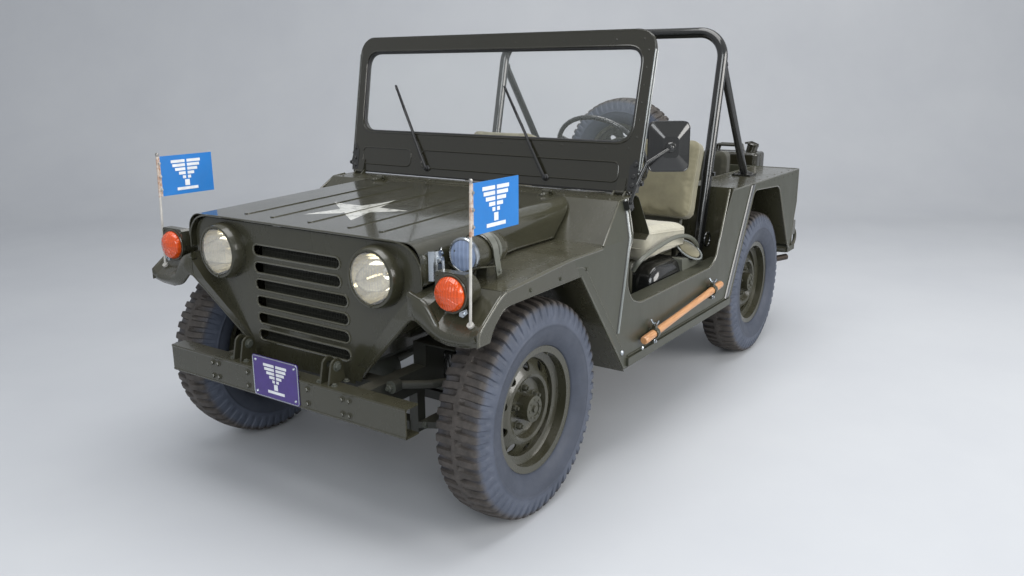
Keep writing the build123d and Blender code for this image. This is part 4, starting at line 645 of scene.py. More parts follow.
# Marker lamps and the blackout lamp on the fenders
MARKER_X, MARKER_Y, MARKER_Z = 378, 675, 866
MARKER_LENS = ((53, 2), (53, 10), (46, 20), (43, 20.8), (41, 22.6), (35, 24.2), (33, 26), (26, 27.4),
               (24, 29), (15, 29.8), (12, 31), (0, 31.4))
MARKER_RING = ((52, 0), (60.5, -1), (61, 1), (59, 3.2), (54, 3.6), (51.2, 2), (52, 0))
lenses, trim = bmesh.new(), bmesh.new()
for side in SIDES:
    c = P(MARKER_X, side * MARKER_Y, MARKER_Z)
    lathe(lenses, MARKER_LENS, c, FRONT, 56)
    for way in spokes(12, LEFT, UP):
        rod(lenses, [c + way * r + FRONT * x for r, x in ((14, 30.2), (30, 26.6), (46, 19.6))], 1.6, 6)
    lathe(trim, MARKER_RING, c, FRONT, 56)
    for y in (-52, 52):
        bolt(trim, c + P(-1, y, 52), FRONT, 4, 3)
    tab = [c + P(-4, side * y, z) for y, z in ((30, -52), (54, -40), (60, -52), (44, -66), (30, -64))]
    plate(trim, tab, FRONT * 4, 1)
    bolt(trim, c + P(0, side * 46, -54), FRONT, 5, 5, slot=1)
finish("marker_lenses", lenses, amber)
finish("marker_trim", trim, green, zinc)

BLACKOUT, HOOP_R = P(70, 634, 956), 63.2
BLACKOUT_RIM = ((55, 178), (57, 182), (57, 190), (54, 194), (50.5, 194.6), (49, 192), (55, 178))
bm = bmesh.new()
lathe(bm, BLACKOUT_RIM, BLACKOUT, FRONT, 56)
lathe(bm, ((0, 196), (14, 195.6), (30, 194.2), (44, 192.6), (49.5, 191.6)), BLACKOUT, FRONT, 48, 1)
lathe(bm, ((54.2, 60), (56, 62), (56, 72), (54.2, 74)), BLACKOUT, FRONT, 56, 2)
box(bm, BLACKOUT + P(191, 0, 12), (6, 70, 7))
hoop = arc(BLACKOUT + FRONT * 105, LEFT, UP, HOOP_R, 0, 180, 20)
strap(bm, [BLACKOUT + P(88, HOOP_R, -72), *hoop, BLACKOUT + P(88, -HOOP_R, -72)], P(26, 0, -5), 2.2, 2)
for side in SIDES:
    bolt(bm, BLACKOUT + P(90, side * 65, -58), LEFT * side, 6, 5, slot=2)
finish("blackout_lamp_fittings", bm, zinc, smoke, strap_paint)

# Rolled edges of the noses and fenders, the lip's swollen face, and the crease beside each arch
# Edges of the lip, as (inset from the body side, Z)
LIP_TOP = ((262, 858), (241, 850), (213, 840), (188, 820), (172, 792), (154, 765), (118, 752), (70, 748),
           (35, 750), (6, 762))
LIP_LOW = ((524, 510), (508, 530), (262, 766), (245, 774), (228, 769), (207, 751), (166, 720), (120, 711),
           (51, 714), (5, 727))
LIP_STEPS, LIP_TAPER, LIP_BULGE = 44, 5, 11
LIP_FOOT_Z, LIP_HEAD_Z = 553, 764


def lip_line(edge, side, out, rise=0):
    """Points along an edge of the slanted lip, moved out of its face and up."""
    slope = (NOSE_FACE_X - NOSE_X) / (LIP_HEAD_Z - LIP_FOOT_Z)
    return [P(min(NOSE_FACE_X, NOSE_X + (z - LIP_FOOT_Z) * slope) + out, side * (BODY_HALF - inset), z + rise)
            for inset, z in edge]


for hand, side in HANDS:
    bm = bmesh.new()
    rod(bm, lip_line(LIP_TOP, side, -9, -12), 13.5, 12, bend=40)
    rod(bm, lip_line(LIP_LOW, side, -5, 7), 8.5, 12, bend=40)
    y = side * (BODY_HALF - 5)
    # Outer top edge in the lighter edge paint, slot 1: rubbed wear and a painted highlight
    rod(bm, at_y(y, (394, 727), (397, 762), (267, 860), (-139, 888), (-350, 888)), 7, 12, slot=1, bend=40)
    rod(bm, at_y(y, (397, 730), (341, 728), (322, 766), (285, 800), (250, 818), (-198, 821)), 5.5, bend=30)
    tops, lows = [even_path(lip_line(edge, side, 1), LIP_STEPS, 6) for edge in (LIP_TOP, LIP_LOW[2:])]
    rows = []
    for k, (a, b) in enumerate(zip(tops, lows)):
        proud = LIP_BULGE * min(1, k / LIP_TAPER, (LIP_STEPS - k) / LIP_TAPER)
        bulge = [a.lerp(b, t / 8) + FRONT * proud * sin(pi * t / 8) for t in range(9)]
        rows.append([a - FRONT * 12, *bulge, b - FRONT * 12])
    sheet(bm, rows)
    finish("fender_edges_" + hand, bm, green, edge_wear_and_highlight_paint)
    bm = bmesh.new()
    rod(bm, at_y(y, (-200, 820), (-545, 382)), 5.5)
    rod(bm, at_y(y + side * 4, (-160, 855), (-222, 848), (-569, 404)), 2.4, 8, bend=50)
    # Arch edges in the lighter edge paint: rubbed wear and a painted highlight
    finish("arch_edges_" + hand, bm, edge_wear_and_highlight_paint)

# Hood: front and side edges, hinge bolts and side latches
LATCH_WRAP = ((346, 565.5), (340, 581.5), (322, 588.5), (302, 583.5), (290, 567.5))
bm = bmesh.new()
for side in SIDES:
    front = [P(376, side * y, z) for y, z in ((300, 1000.5), (505, 1000), (561, 940), (562, 876))]
    rod(bm, front, 4, 8, bend=62, steps=10)
    rod(bm, at_y(side * 563, (374, 875), (-139, 903), (-378, 903)), 3.8, 8)
    for x, z in ((-488, 1041), (-505, 1041.85)):
        bolt(bm, (x, side * 440, z), P(0.1, 0, 1), 6, 4)
rod(bm, [(376, -300, 1000.5), (376, 300, 1000.5)], 4, 8)
finish("hood_edges", bm, hood_paint, body="hood")

bm = bmesh.new()
for side in SIDES:
    strap(bm, [P(x, side * y, 930) for x, y in LATCH_WRAP], UP * 92, 2.8, bend=12)
    rod(bm, at_y(side * 568.5, (289, 980), (289, 882)), 4.5, 8, slot=1)
    lathe(bm, ((12, 0), (12, 9), (9, 12), (0, 12)), (318, side * 586.5, 948), LEFT * side, 20)
    rod(bm, [(318, side * 599.5, 948), (318, side * 601.5, 905), (300, side * 595.5, 892)], 5, 8, bend=10)
    bolts(bm, 297, side * 577.5, (898, 965), LEFT * side, 5, 4)
finish("hood_latches", bm, zinc, chrome, body="hood")

# Front bumper's rolled flanges, bolts and shackle pins, and plain bars on the pennants and the plate
bm = bmesh.new()
for z in (421, 511):
    rod(bm, [(BUMPER_X - 3, -579, z), (BUMPER_X - 3, 579, z)], 5, 8)
bolts(bm, BUMPER_X, (-340, -310, 310, 340, -150, 150), (440, 490), FRONT, 9, 7)
for side, way in product(SIDES, SIDES):
    bolt(bm, (438, side * 219 + way * 23, 573), LEFT * way, 13, 8, slot=1)
    bolts(bm, (412, 466), side * 219 + way * 35, 516.5, UP, 8, 6, slot=1)
finish("bumper_fittings", bm, green, cast)


def emblem(bm, centre, across, out, size):
    """Plain bars that narrow downwards to a post on a wide foot, as a generic mark in flat paint."""
    for up, half in ((0.40, 0.50), (0.28, 0.46), (0.16, 0.38), (0.04, 0.26), (-0.08, 0.14), (-0.42, 0.36)):
        inner = 0.035 if up > -0.4 else 0.0
        for way in SIDES:
            ends = [centre + UP * size * up + across * size * way * s for s in (inner, half)]
            strap(bm, ends, UP * size * 0.085, size * 0.02)
    strap(bm, [centre + UP * size * k for k in (-0.16, -0.34)], across * size * 0.16, size * 0.02)
    for v in bm.verts:
        v.co -= out * (v.co - centre).dot(out) * 0.7


PENNANT_Y = BODY_HALF - 46
for hand, side in HANDS:
    for face, out, size in (("outer", side, 135), ("inner", -side, 130)):
        bm = bmesh.new()
        emblem(bm, P(242, side * PENNANT_Y + out * 2.2, 1120), FRONT, LEFT * out, size)
        finish("pennant_mark_%s_%s" % (face, hand), bm, white_paint)
    bm = bmesh.new()
    for way in SIDES:
        bolts(bm, 358, side * PENNANT_Y + way * 4, (1070, 1120, 1170), LEFT * way, 4.5, 3)
    lathe(bm, ((0, 9), (5, 7), (6.5, 2), (5, -3), (4.6, -6)), (362, side * PENNANT_Y, 1202), UP, 16)
    finish("pennant_fittings_" + hand, bm, steel)

bm = bmesh.new()
emblem(bm, P(BUMPER_X + 3.6, 0, 493), LEFT, FRONT, 115)
finish("bumper_plate_mark", bm, white_paint)
bm = bmesh.new()
rod(bm, rect(P(BUMPER_X + 3.2, 0, 493), LEFT, 111, UP, 71), 1.6, 6, closed=True, bend=12)
bolts(bm, BUMPER_X + 3, (-96, 96), (436, 550), FRONT, 4, 3)
finish("bumper_plate_trim", bm, zinc)

# Windshield: rounded frame edges, seal, pressed panel, clamps and wipers
FRAME_FOOT, FRAME_LEAN = P(-673, 0, 1049), 11.35
FRAME_UP, FRAME_OUT = heading(UP, -FRONT, FRAME_LEAN), heading(FRONT, UP, FRAME_LEAN)


def W(y, up, out=0.0):
    """Point of the windshield: across, up its slope and out of its front face."""
    return FRAME_FOOT + LEFT * y + FRAME_UP * up + FRAME_OUT * out


def opening(inset, out):
    """Corners of the glass opening, drawn inside by an inset."""
    low, top = (708, 186 + inset), (718, 556 - inset)
    return [W(side * (half - inset), up, out) for side, (half, up) in ((-1, low), (1, low), (1, top), (-1, top))]


bm = bmesh.new()
for out in (-4.5, -21.5):
    frame_edge = [W(y, up, out) for y, up in ((-747, 2), (-758, 616), (758, 616), (747, 2))]
    rod(bm, frame_edge, 5.2, bend=75, steps=10)
rod(bm, opening(-3, -1), 4, 8, closed=True, bend=75, steps=10)
for middle, half in ((169, 499), (-541, 149)):
    rod(bm, rect(W(middle, 73), LEFT, half, FRAME_UP, 39), 3.4, 8, closed=True, bend=28)
rivets(bm, W(-700, 166), W(700, 166), 15, FRAME_OUT, 4)
rivets(bm, W(-715, 582), W(715, 582), 13, FRAME_OUT, 4)
for side in SIDES:
    rivets(bm, W(side * 730, 210), W(side * 738, 540), 6, FRAME_OUT, 4)
finish("windshield_edges", bm, deep_paint, body="windshield")

bm = bmesh.new()
# Rods in pale paint that paint the bright highlights on the channel edges of the posts
for side, out in product(SIDES, (-3, -22)):
    rod(bm, [W(side * 754, 70, out), W(side * 765, 545, out)], 3.4, 8)
finish("windshield_post_channels", bm, highlight_paint, body="windshield")

bm = bmesh.new()
for out in (-8, -19):
    rod(bm, opening(3, out), 5.8, closed=True, bend=70, steps=10)
strap(bm, [W(-745, -1, -12), W(745, -1, -12)], FRONT * 20, 6)
finish("windshield_seal", bm, seal_rubber, body="windshield")

bm = bmesh.new()
for side in SIDES:
    leaf = [W(side * y, up, 2) for y, up in ((716, 8), (751, 8), (753, 118), (738, 126), (716, 96))]
    plate(bm, leaf, -FRAME_OUT * 3)
    for y, up in ((734, 24), (736, 58), (740, 104)):
        bolt(bm, W(side * y, up, 2), FRAME_OUT, 8, 6)
    rod(bm, [W(side * 756, 26, -10), W(side * 763, 38, -10), W(side * 753, 76, -8)], 7, bend=12)
    lathe(bm, ((0, -2), (9, 0), (10, 4), (9, 9), (0, 10)), W(side * 765, 36, -10), LEFT * side, 20)
    lathe(bm, ((0, 0), (9, 1), (10, 6), (8, 11), (0, 12)), W(side * 753, 76, -8), UP, 16)
    for y in (692, 728):
        lathe(bm, ((0, -1), (7.5, 0), (7.5, 6), (5, 8), (0, 8)), (-664, side * y, 1046), LEFT, 12)
finish("windshield_clamps", bm, gloss_black, body="windshield")

arms, blades = bmesh.new(), bmesh.new()
for foot_y, tip_y in ((-289, -520), (341, 90)):
    foot, tip = W(foot_y, 32), W(tip_y, 400)
    way = (tip - foot).normalized()
    start = foot + way * 145
    lathe(arms, ((14, 0), (14, 3), (11, 5), (10, 13), (7, 15), (0, 15)), foot, FRAME_OUT, 20)
    lathe(arms, ((6, 15), (6, 20), (0, 21)), foot, FRAME_OUT, 6)
    spine = [foot + way * s + FRAME_OUT * h for s, h in ((0, 12), (60, 14.4), (200, 12), (300, 12))]
    rod(arms, spine, (6.5, 6, 3.6, 3), 8)
    bridge = [start.lerp(tip, s) + FRAME_OUT * h for s, h in ((0, 8.4), (0.5, 10.8), (1, 6.6))]
    strap(arms, bridge, way.cross(FRAME_OUT) * 9, 2.6)
    for s in (0.06, 0.36, 0.64, 0.94):
        box(arms, start.lerp(tip, s) + FRAME_OUT * 6, (10, 10, 7), way.to_track_quat("X", "Z").to_matrix())
    strap(blades, [start + FRAME_OUT * 2.4, tip + FRAME_OUT * 2.4], FRAME_OUT * 10, 3.4)
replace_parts(finish("wiper_arms", arms, black_plastic, body="windshield"), "wipers")
finish("wiper_blades", blades, seal_rubber, body="windshield")

# Body sides: rolled edges, corner bead and groove, arch strip, rivets and the handle's clamps
COWL_LEAN = (BODY_HALF - 750) / (1031 - BELT_Z)
DOOR_EDGE = ((-619, 1036), (-593, BELT_Z), (-559, 836), (-550, 703), (-600, 640), (-666, 617), (-1410, 617),
             (-1469, 651), (-1520, 763), (-1648, DECK_Z))
ARCH_REAR = ((-1655, 388), (-1672, 402), (-1953, 914), (-2354, 892), (-2579, 530), (-2617, 506))
STRIP = ((0, 0.3), (0, 2), (6, 7), (14, 8), (62, 1.5), (62, 0.3))


def on_side(side, proud, *places):
    """Points on the outer face of the body side, which leans in above the belt."""
    return [P(x, side * (BODY_HALF + proud - max(0, z - BELT_Z) * COWL_LEAN), z) for x, z in places]


for hand, side in HANDS:
    y = side * (BODY_HALF - 3)
    bm = bmesh.new()
    # Body edges in the lighter edge paint, rubbed wear and a painted highlight; the corner bead in pale paint,
    # slot 1, paints its bright highlight
    rod(bm, on_side(side, -4, *DOOR_EDGE), 5.2, bend=35)
    rod(bm, at_y(y, *ARCH_REAR), 5, bend=40)
    rod(bm, at_y(y, (-1648, DECK_Z - 2), (REAR_X + 2, DECK_Z - 2), (REAR_X + 2, 762), (-2617, 508)), 4.5)
    rod(bm, on_side(side, 0.5, (-484, 539), (-562, BELT_Z), (-593, 1032)), (5, 5.6, 5), 8, slot=1)
    rod(bm, on_side(side, -2, (-356, 895), (-546, 1030), (-616, 1036)), 4.5)
    finish("body_edges_" + hand, bm, edge_wear_and_highlight_paint, highlight_paint)

    bm = bmesh.new()
    # Black rod beside the corner bead that paints the shade in the groove there
    rod(bm, on_side(side, -1.6, (-472, 539), (-550, BELT_Z), (-580, 1030)), 3.2, 8)
    finish("corner_groove_" + hand, bm, seal_rubber)

    bm = bmesh.new()
    # Gloss black wedge that paints the shade in the recessed channel along the front edge of the rear arch
    rows = [[bm.verts.new(P(x - away, side * (BODY_HALF + proud), z)) for away, proud in STRIP]
            for x, z in ((-1598, 424), (-1894, 944))]
    join_rings(bm, rows)
    cap(bm, *rows)
    finish("arch_strip_" + hand, bm, gloss_black, smooth=20)

    bm = bmesh.new()
    y, out = side * BODY_HALF, LEFT * side
    rivets(bm, (-2010, y, 932), (-2660, y, 932), 9, out)
    rivets(bm, (-2672, y, 900), (-2672, y, 790), 3, out)
    bolts(bm, (-232, -60, 120), y, 838, out, 6, 4)
    rod(bm, at_y(y + side, (-566, 426), (-1650, 426)), 3.4, 8)
    finish("side_rivets_" + hand, bm, side_paint)

HANDLE_FRONT, HANDLE_REAR = P(-659, 814, 466), P(-1480, 814, 528)
HANDLE = ((0, 0), (13, 1), (16.6, 6), (17.2, 30), (16.8, 80), (15.6, 160), (14.2, 300), (13.8, 430),
          (14.6, 560), (16.2, 680), (17, 760), (16.8, 812), (14, 821), (0, 823))
along = (HANDLE_REAR - HANDLE_FRONT).normalized()
bm = bmesh.new()
lathe(bm, HANDLE, HANDLE_FRONT, along)
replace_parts(finish("tool_handle_turned", bm, wood), "tool_handle")
bm = bmesh.new()
for distance in (101, 720):
    at = HANDLE_FRONT + along * distance
    lathe(bm, ((22, -11), (23, -8), (23, 8), (22, 11), (20, 11), (20, -11), (22, -11)), at, along)
    box(bm, at + UP * 27, (20, 16, 12))
    rod(bm, [at + UP * 24, at + UP * 44], 4, 8, slot=1)
    for way in SIDES:
        rod(bm, [at + P(0, way * y, z) for y, z in ((0, 36), (10, 42), (17, 54))], (5, 4.5, 3), 8, slot=1)
    box(bm, at + P(0, -8, -30), (24, 20, 20))
    bolt(bm, at + P(0, 3, -34), LEFT, 7, 6, slot=1)
for x, z in ((-520, 452), (-700, 420)):
    lathe(bm, ((11, 0), (10.5, 3), (7, 6), (0, 7)), (x, BODY_HALF, z), LEFT, 20, 1)
finish("handle_clamps", bm, green, zinc)

# Mirror, steering wheel, instruments and controls
MIRROR_TURN = 38
mirror_across, mirror_out = heading(LEFT, -FRONT, MIRROR_TURN), heading(FRONT, LEFT, MIRROR_TURN)
mirror_mid = P(-705, 785, 1222) + mirror_across * 79
bm = bmesh.new()
glass = rect(mirror_mid - mirror_out * 16.4, mirror_across, 72, UP, 88)
plate(bm, rounded(glass, 22, closed=True), -mirror_out * 1.2)
finish("mirror_plate", bm, mirror_glass)
bm = bmesh.new()
for half_x, half_z, back, r in ((76, 92, 14, 4.2), (77, 93, 0, 3)):
    rim = rect(mirror_mid - mirror_out * back, mirror_across, half_x, UP, half_z)
    rod(bm, rim, r, 8, closed=True, bend=26)
ball = ((19, -8), (21, -5), (19, 0), (15, 3), (15, 9), (0, 10))
lathe(bm, ball, mirror_mid + mirror_out * 34, mirror_out, 24)
arm_foot = on_side(1, 22, (-588, 1010))[0]
bolts(bm, arm_foot.x, arm_foot.y, (998, 1022), LEFT, 6, 5)
finish("mirror_rim", bm, gloss_black)

COLUMN_TOP, COLUMN_DIR = P(-1020, 415, 1145), heading(FRONT, -UP, 35)
bm = bmesh.new()
lathe(bm, ((30, -5), (31, -9), (26, -15), (18, -18), (0, -19)), COLUMN_TOP, COLUMN_DIR)
lathe(bm, ((33, 28), (36, 30), (36, 40), (22, 52), (21, 70)), COLUMN_TOP, COLUMN_DIR)
u, v, w = basis(COLUMN_DIR)
for way in spokes(36, u, v):
    lathe(bm, ((9.6, -4), (10.8, -2), (10.8, 2), (9.6, 4)), COLUMN_TOP + way * 206, w.cross(way), 12)
finish("steering_wheel_grips", bm, black_plastic, body="steering")

DASH_TOP, DASH_LOW = P(-712, 0, 1020), P(-733, 0, 892)
dash_up = (DASH_TOP - DASH_LOW).normalized()
dash_out = dash_up.cross(LEFT)
dash_mid = DASH_LOW.lerp(DASH_TOP, 0.5) + dash_out * 3
bm, faces, marks = bmesh.new(), bmesh.new(), bmesh.new()
plate(bm, rounded(rect(dash_mid, LEFT, 210, dash_up, 56), 14, closed=True), dash_out * 4)
for y, r in ((0, 48), (105, 26), (-105, 26), (170, 26), (-170, 26)):
    c = dash_mid + LEFT * y + dash_out * 4
    lathe(bm, ((r, 0), (r + 4, 2), (r + 3, 7), (r - 2, 7), (r - 3, 3)), c, dash_out, 40, 1)
    lathe(faces, ((0, 1.2), (r - 1, 1.2), (r, 0.2)), c, dash_out, 40)
    for k in range(11):
        way = heading(LEFT, dash_up, 225 - k * 27)
        rod(marks, [c + way * r * s + dash_out * 1.6 for s in (0.74, 0.92)], 0.7, 6)
    needle = heading(LEFT, dash_up, 200)
    rod(marks, [c + needle * r * s + dash_out * 2.4 for s in (0, 0.7)], (1.4, 0.6), 6)
for y in (-300, -260, 280, 330):
    knob = ((11, 0), (11, 3), (6, 4), (5, 12), (8, 16), (8, 21), (0, 23))
    lathe(bm, knob, dash_mid + LEFT * y - dash_out * 2, dash_out, 20, 1)
finish("instrument_panel", bm, green_dull, black_plastic)
finish("instrument_faces", faces, dial_face)
finish("instrument_marks", marks, white_paint)

bm = bmesh.new()
rod(bm, [(-726, -560, 960), (-762, -540, 962), (-762, -300, 962), (-726, -280, 960)], 8, bend=20)
for y, k in product((270, 350, 500), range(-3, 4)):
    box(bm, P(-569.5, y, 530) + P(5.7, 0, 8.2) * k, (5, 56, 4))
lathe(bm, ((36, 0), (34, 6), (26, 14), (20, 34), (12, 44), (8, 50)), (-620, 0, 597), UP, 24)
for y in (-75, 60):
    lathe(bm, ((22, 0), (20, 8), (13, 22), (8, 30)), (-840, y, 593), UP, 20)
finish("cab_controls", bm, seal_rubber)

# Fuel tank with its swollen side and filler, the pipe and guard beside it, and roll bar fittings
# Rows of the tank across the car, as (Y, inset from its largest outline)
TANK_ROWS = ((215, 46), (221, 16), (240, 0), (640, 0), (662, 3), (676, 10), (686, 24), (692, 46), (695, 78),
             (696, 108))
filler, filler_out = P(-1390, 682, 690), P(0.06, 0.55, 0.83)
u, v, w = basis(filler_out)
bm = bmesh.new()
rod(bm, [(-1340, 590, 600), (-1378, 655, 640), filler], 32, 24, bend=30)
lathe(bm, ((32, -34), (40, -18), (60, -10), (64, -2), (64, 3), (0, 4)), filler, w, 48)
lathe(bm, ((55, 3), (54, 8), (51, 10), (0, 12)), filler, w, 48, 1)
# Ring round the filler cap in pale paint, slot 3, which paints its bright highlight
rod(bm, arc(filler + w * 4, u, v, 67, 0, 351, 39), 4.8, 8, slot=3, closed=True)
rod(bm, [(-870, 655, 690), (-868, 684, 736), (-990, 690, 763), (-1150, 695, 784), (-1250, 697, 783),
         (-1351, 700, 763), (-1440, 700, 718), (-1534, 672, 640)], 10, 12, slot=2, bend=45)
guard = at_y(705, (-1262, 677), (-1280, 572), (-1525, 572), (-1508, 641))
plate(bm, rounded(guard, 14, closed=True), LEFT * -52, 2)
rows = []
for y, inset in TANK_ROWS:
    rim = rounded(rect(P(-1200, y, 542), FRONT, 188 - inset, UP, 134 - inset), 105, closed=True, steps=8)
    rows.append([bm.verts.new(p) for p in rim])
join_rings(bm, rows)
cap(bm, rows[0], rows[-1])
for y in (300, 500):
    belt = at_y(y, (-1047, 420), (-1047, 640), (-1090, 683), (-1350, 683), (-1393, 640), (-1393, 420))
    strap(bm, belt, LEFT * 34, 3, bend=40)
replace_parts(finish("tank_and_filler", bm, gloss_black, tan, strap_paint, highlight_paint), "fuel_tank")

bm = bmesh.new()
leg = P(-275, 0, 1273).normalized()
for side in SIDES:
    y = side * 630
    bolts(bm, (-2273, -2197), (y - 38, y + 28), DECK_Z + 8, UP, 8, 6)
    hoop_foot = P(-1551, side * 640, 408)
    bolts(bm, (-1585, -1517), (side * 640 - 40, side * 640 + 40), 408, UP, 7, 5)
    for height in (300, 620):
        at = hoop_foot + leg * height
        lathe(bm, ((25, -13), (27.5, -12), (27.5, 12), (25, 13)), at, leg, 28)
        box(bm, at + LEFT * side * 31, (18, 14, 18))
    ring_mid = hoop_foot + leg * 300 + P(0, side * 42, 4)
    rod(bm, arc(ring_mid, FRONT, UP, 34, 0, 345, 23), 5, 8, closed=True)
    stay_top = P(-1798, side * 640, 1550)
    way = (P(-2235, y, 954) - stay_top).normalized()
    lathe(bm, ((20, 18), (24, 22), (24, 34), (20, 38)), stay_top, way, 28)
    lathe(bm, ((20, 2), (24, 0), (30, -6)), (-2235, y, 962), -way, 28)
finish("roll_bar_fittings", bm, gloss_black)

# Springs as wound wire between their seats, dampers, and the nuts of the suspension
# (X of the spring, X of the damper, Y, low Z, high Z)
SPRING_PLACES = ((-90, 90, 440, 302, 582), (-1989, -1909, 458, 350, 537))
SPRING_R, WIRE_R, COIL_PITCH, TURN_STEPS = 37.5, 6.2, 38, 20
SEAT = ((0, 0.5), (46, 0.5), (46, 4), (20, 6), (18, 26), (0, 28))
bm = bmesh.new()
for side, (x, damper_x, y, low, high) in product(SIDES, SPRING_PLACES):
    tall = high - low
    count = round(tall / COIL_PITCH) * TURN_STEPS
    coil = []
    for k in range(count + 1):
        z = low + WIRE_R + (tall - 2 * WIRE_R) * k / count
        coil.append(P(x, side * y, z) + heading(FRONT, LEFT, 360 * k / TURN_STEPS) * SPRING_R)
    rod(bm, coil, WIRE_R, 8)
    for z, way in ((low, 1), (high, -1)):
        lathe(bm, SEAT, (x, side * y, z), UP * way, 28, 1)
    damper = ((0, 1), (13, 2), (13, 14), (22, 18), (24, 22), (24, tall * 0.52), (22, tall * 0.54),
              (9, tall * 0.55), (9, tall * 0.60), (26, tall * 0.60), (27, tall * 0.62), (27, tall - 22),
              (20, tall - 14), (12, tall - 12), (12, tall - 1), (0, tall - 1))
    lathe(bm, damper, (damper_x, side * y, low), UP, 28, 2)
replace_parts(finish("coil_springs", bm, dark_steel, dark_steel, gloss_black), "springs_and_dampers")

JOINT_CAP = ((20, 0), (22, 4), (20, 12), (10, 18), (0, 19))
bm = bmesh.new()
for side in SIDES:
    eye = P(334, side * 380, 496)
    lathe(bm, ((22, 0), (22, 2), (17, 3), (0, 3)), eye, FRONT, 28)
    lathe(bm, ((13, 3), (13, 14), (10, 17), (6, 17), (6, 24), (0, 25)), eye, FRONT, 6)
    for x in (-140, 140):
        lathe(bm, ((16, 0), (16, 12), (12, 16), (0, 16)), (x, side * 352, 290), LEFT * side, 6)
    for z, way in ((490, UP), (278, -UP)):
        lathe(bm, JOINT_CAP, (0, side * 572, z), way, 24)
finish("suspension_nuts", bm, cast)

# Engine dressing under the hood: cover ribs, air cleaner, pulleys, fan and hose
bm = bmesh.new()
for x in range(-240, 141, 38):
    box(bm, (x, 0, 851), (10, 250, 6))
lathe(bm, ((0, 0), (88, 2), (96, 12), (96, 52), (90, 60), (60, 64), (0, 66)), (-40, 30, 852), UP, 40, 1)
bolt(bm, (-40, 30, 918), UP, 12, 10, slot=1)
for y, z, r in ((0, 560, 70), (95, 700, 46)):
    lathe(bm, ((0, 0), (r, 0), (r - 4, 6), (r, 12), (0, 12)), (216, y, z), FRONT, 36)
for way in spokes(5, LEFT, UP):
    strap(bm, [P(240, 0, 640) + way * r for r in (40, 180)], (way.cross(FRONT) + FRONT * 0.35) * 60, 2.5)
rod(bm, at_y(60, (120, 830), (200, 870), (262, 900), (276, 905)), 20, 12, slot=1, bend=40)
finish("engine_dressing", bm, cast, gloss_black)

# Rear: can pressings and closure, strap, spare wheel nut, beads, rivets, lamps and pintle
CAN_X, CAN_Y = -2880.2, (185, 530)
bm = bmesh.new()
rod(bm, rect(P(CAN_X, 357.5, 822.5), LEFT, 142.5, UP, 162.5), 4.2, 8, closed=True, bend=30)
middle = P(CAN_X, 357, 822)
for y, z in product((236, 479), (685, 960)):
    rod(bm, [(CAN_X, y, z), middle.lerp(P(CAN_X, y, z), 0.16)], 5, 8)
rod(bm, arc(middle, LEFT, UP, 26, 0, 345, 23), 4.5, 8, closed=True)
seam = ((CAN_Y[0] - 1, 606), (CAN_Y[0] - 1, 1010), (CAN_Y[0] + 16, 1024),
        (CAN_Y[1] - 16, 1024), (CAN_Y[1] + 1, 1010), (CAN_Y[1] + 1, 606))
rod(bm, [(-2797, y, z) for y, z in seam], 3.5, 8)
lathe(bm, ((33, 40), (35, 44), (35, 50), (30, 56), (0, 58)), (-2797, 468, 1020), P(0, 0.25, 1))
rod(bm, [(-2797, 430, 1074), (-2797, 470, 1082), (-2797, 512, 1066)], 6, 8)
finish("can_pressings", bm, deep_paint)

bm = bmesh.new()
strap(bm, [(-2706, 176, 820), (-2888, 176, 820), (-2888, 539, 820), (-2706, 539, 820)], UP * 30, 3, bend=20)
box(bm, (-2891, 300, 820), (6, 44, 42), slot=1)
finish("can_strap", bm, tan, steel)

bm = bmesh.new()
lathe(bm, ((30, 9), (30, 12), (18, 14), (16, 26), (0, 28)), SPARE_HUB, -FRONT, 28)
for way in SIDES:
    rod(bm, [SPARE_HUB + P(x, way * y, 0) for x, y in ((-24, 0), (-30, 20), (-40, 38))], (9, 8, 6))
rivets(bm, (REAR_X, -620, 925), (REAR_X, 620, 925), 12, -FRONT)
bolts(bm, REAR_X - 6, (-480, -290), (800, 925), -FRONT, 9, 7)
for x, z, r in ((REAR_X - 1, 948, 4.5), (REAR_X - 1, 760, 3.5), (REAR_X + 82, 507, 4.5)):
    rod(bm, [(x, -782, z), (x, 782, z)], r, 8)
finish("rear_fittings", bm, side_paint)

bm = bmesh.new()
for side in SIDES:
    c = P(REAR_X - 45, side * 740, 607)
    lathe(bm, ((33, 0), (34.5, 1), (34.5, 5), (31, 6.5), (28, 5)), c, -FRONT, 40, 1)
    for z, slot in ((12, 0), (-13, 2)):
        lathe(bm, ((12, 0.2), (12, 5), (8, 8), (0, 9)), c + UP * z, -FRONT, 24, slot)
    bolts(bm, REAR_X - 35, (c.y - 34, c.y + 34), (573, 641), -FRONT, 5, 4, slot=1)
finish("rear_lamp_lenses", bm, red, green, smoke)

bm = bmesh.new()
lathe(bm, ((12, 0), (15, 4), (15, 16), (9, 22), (0, 23)), (-2750, 0, 520), UP, 24)
bolts(bm, -2660, (-36, 36), (452, 486), -FRONT, 8, 6)
bolts(bm, -2612, (-300, -200, 200, 300), 505, -FRONT, 8, 6)
finish("rear_bumper_fittings", bm, cast)

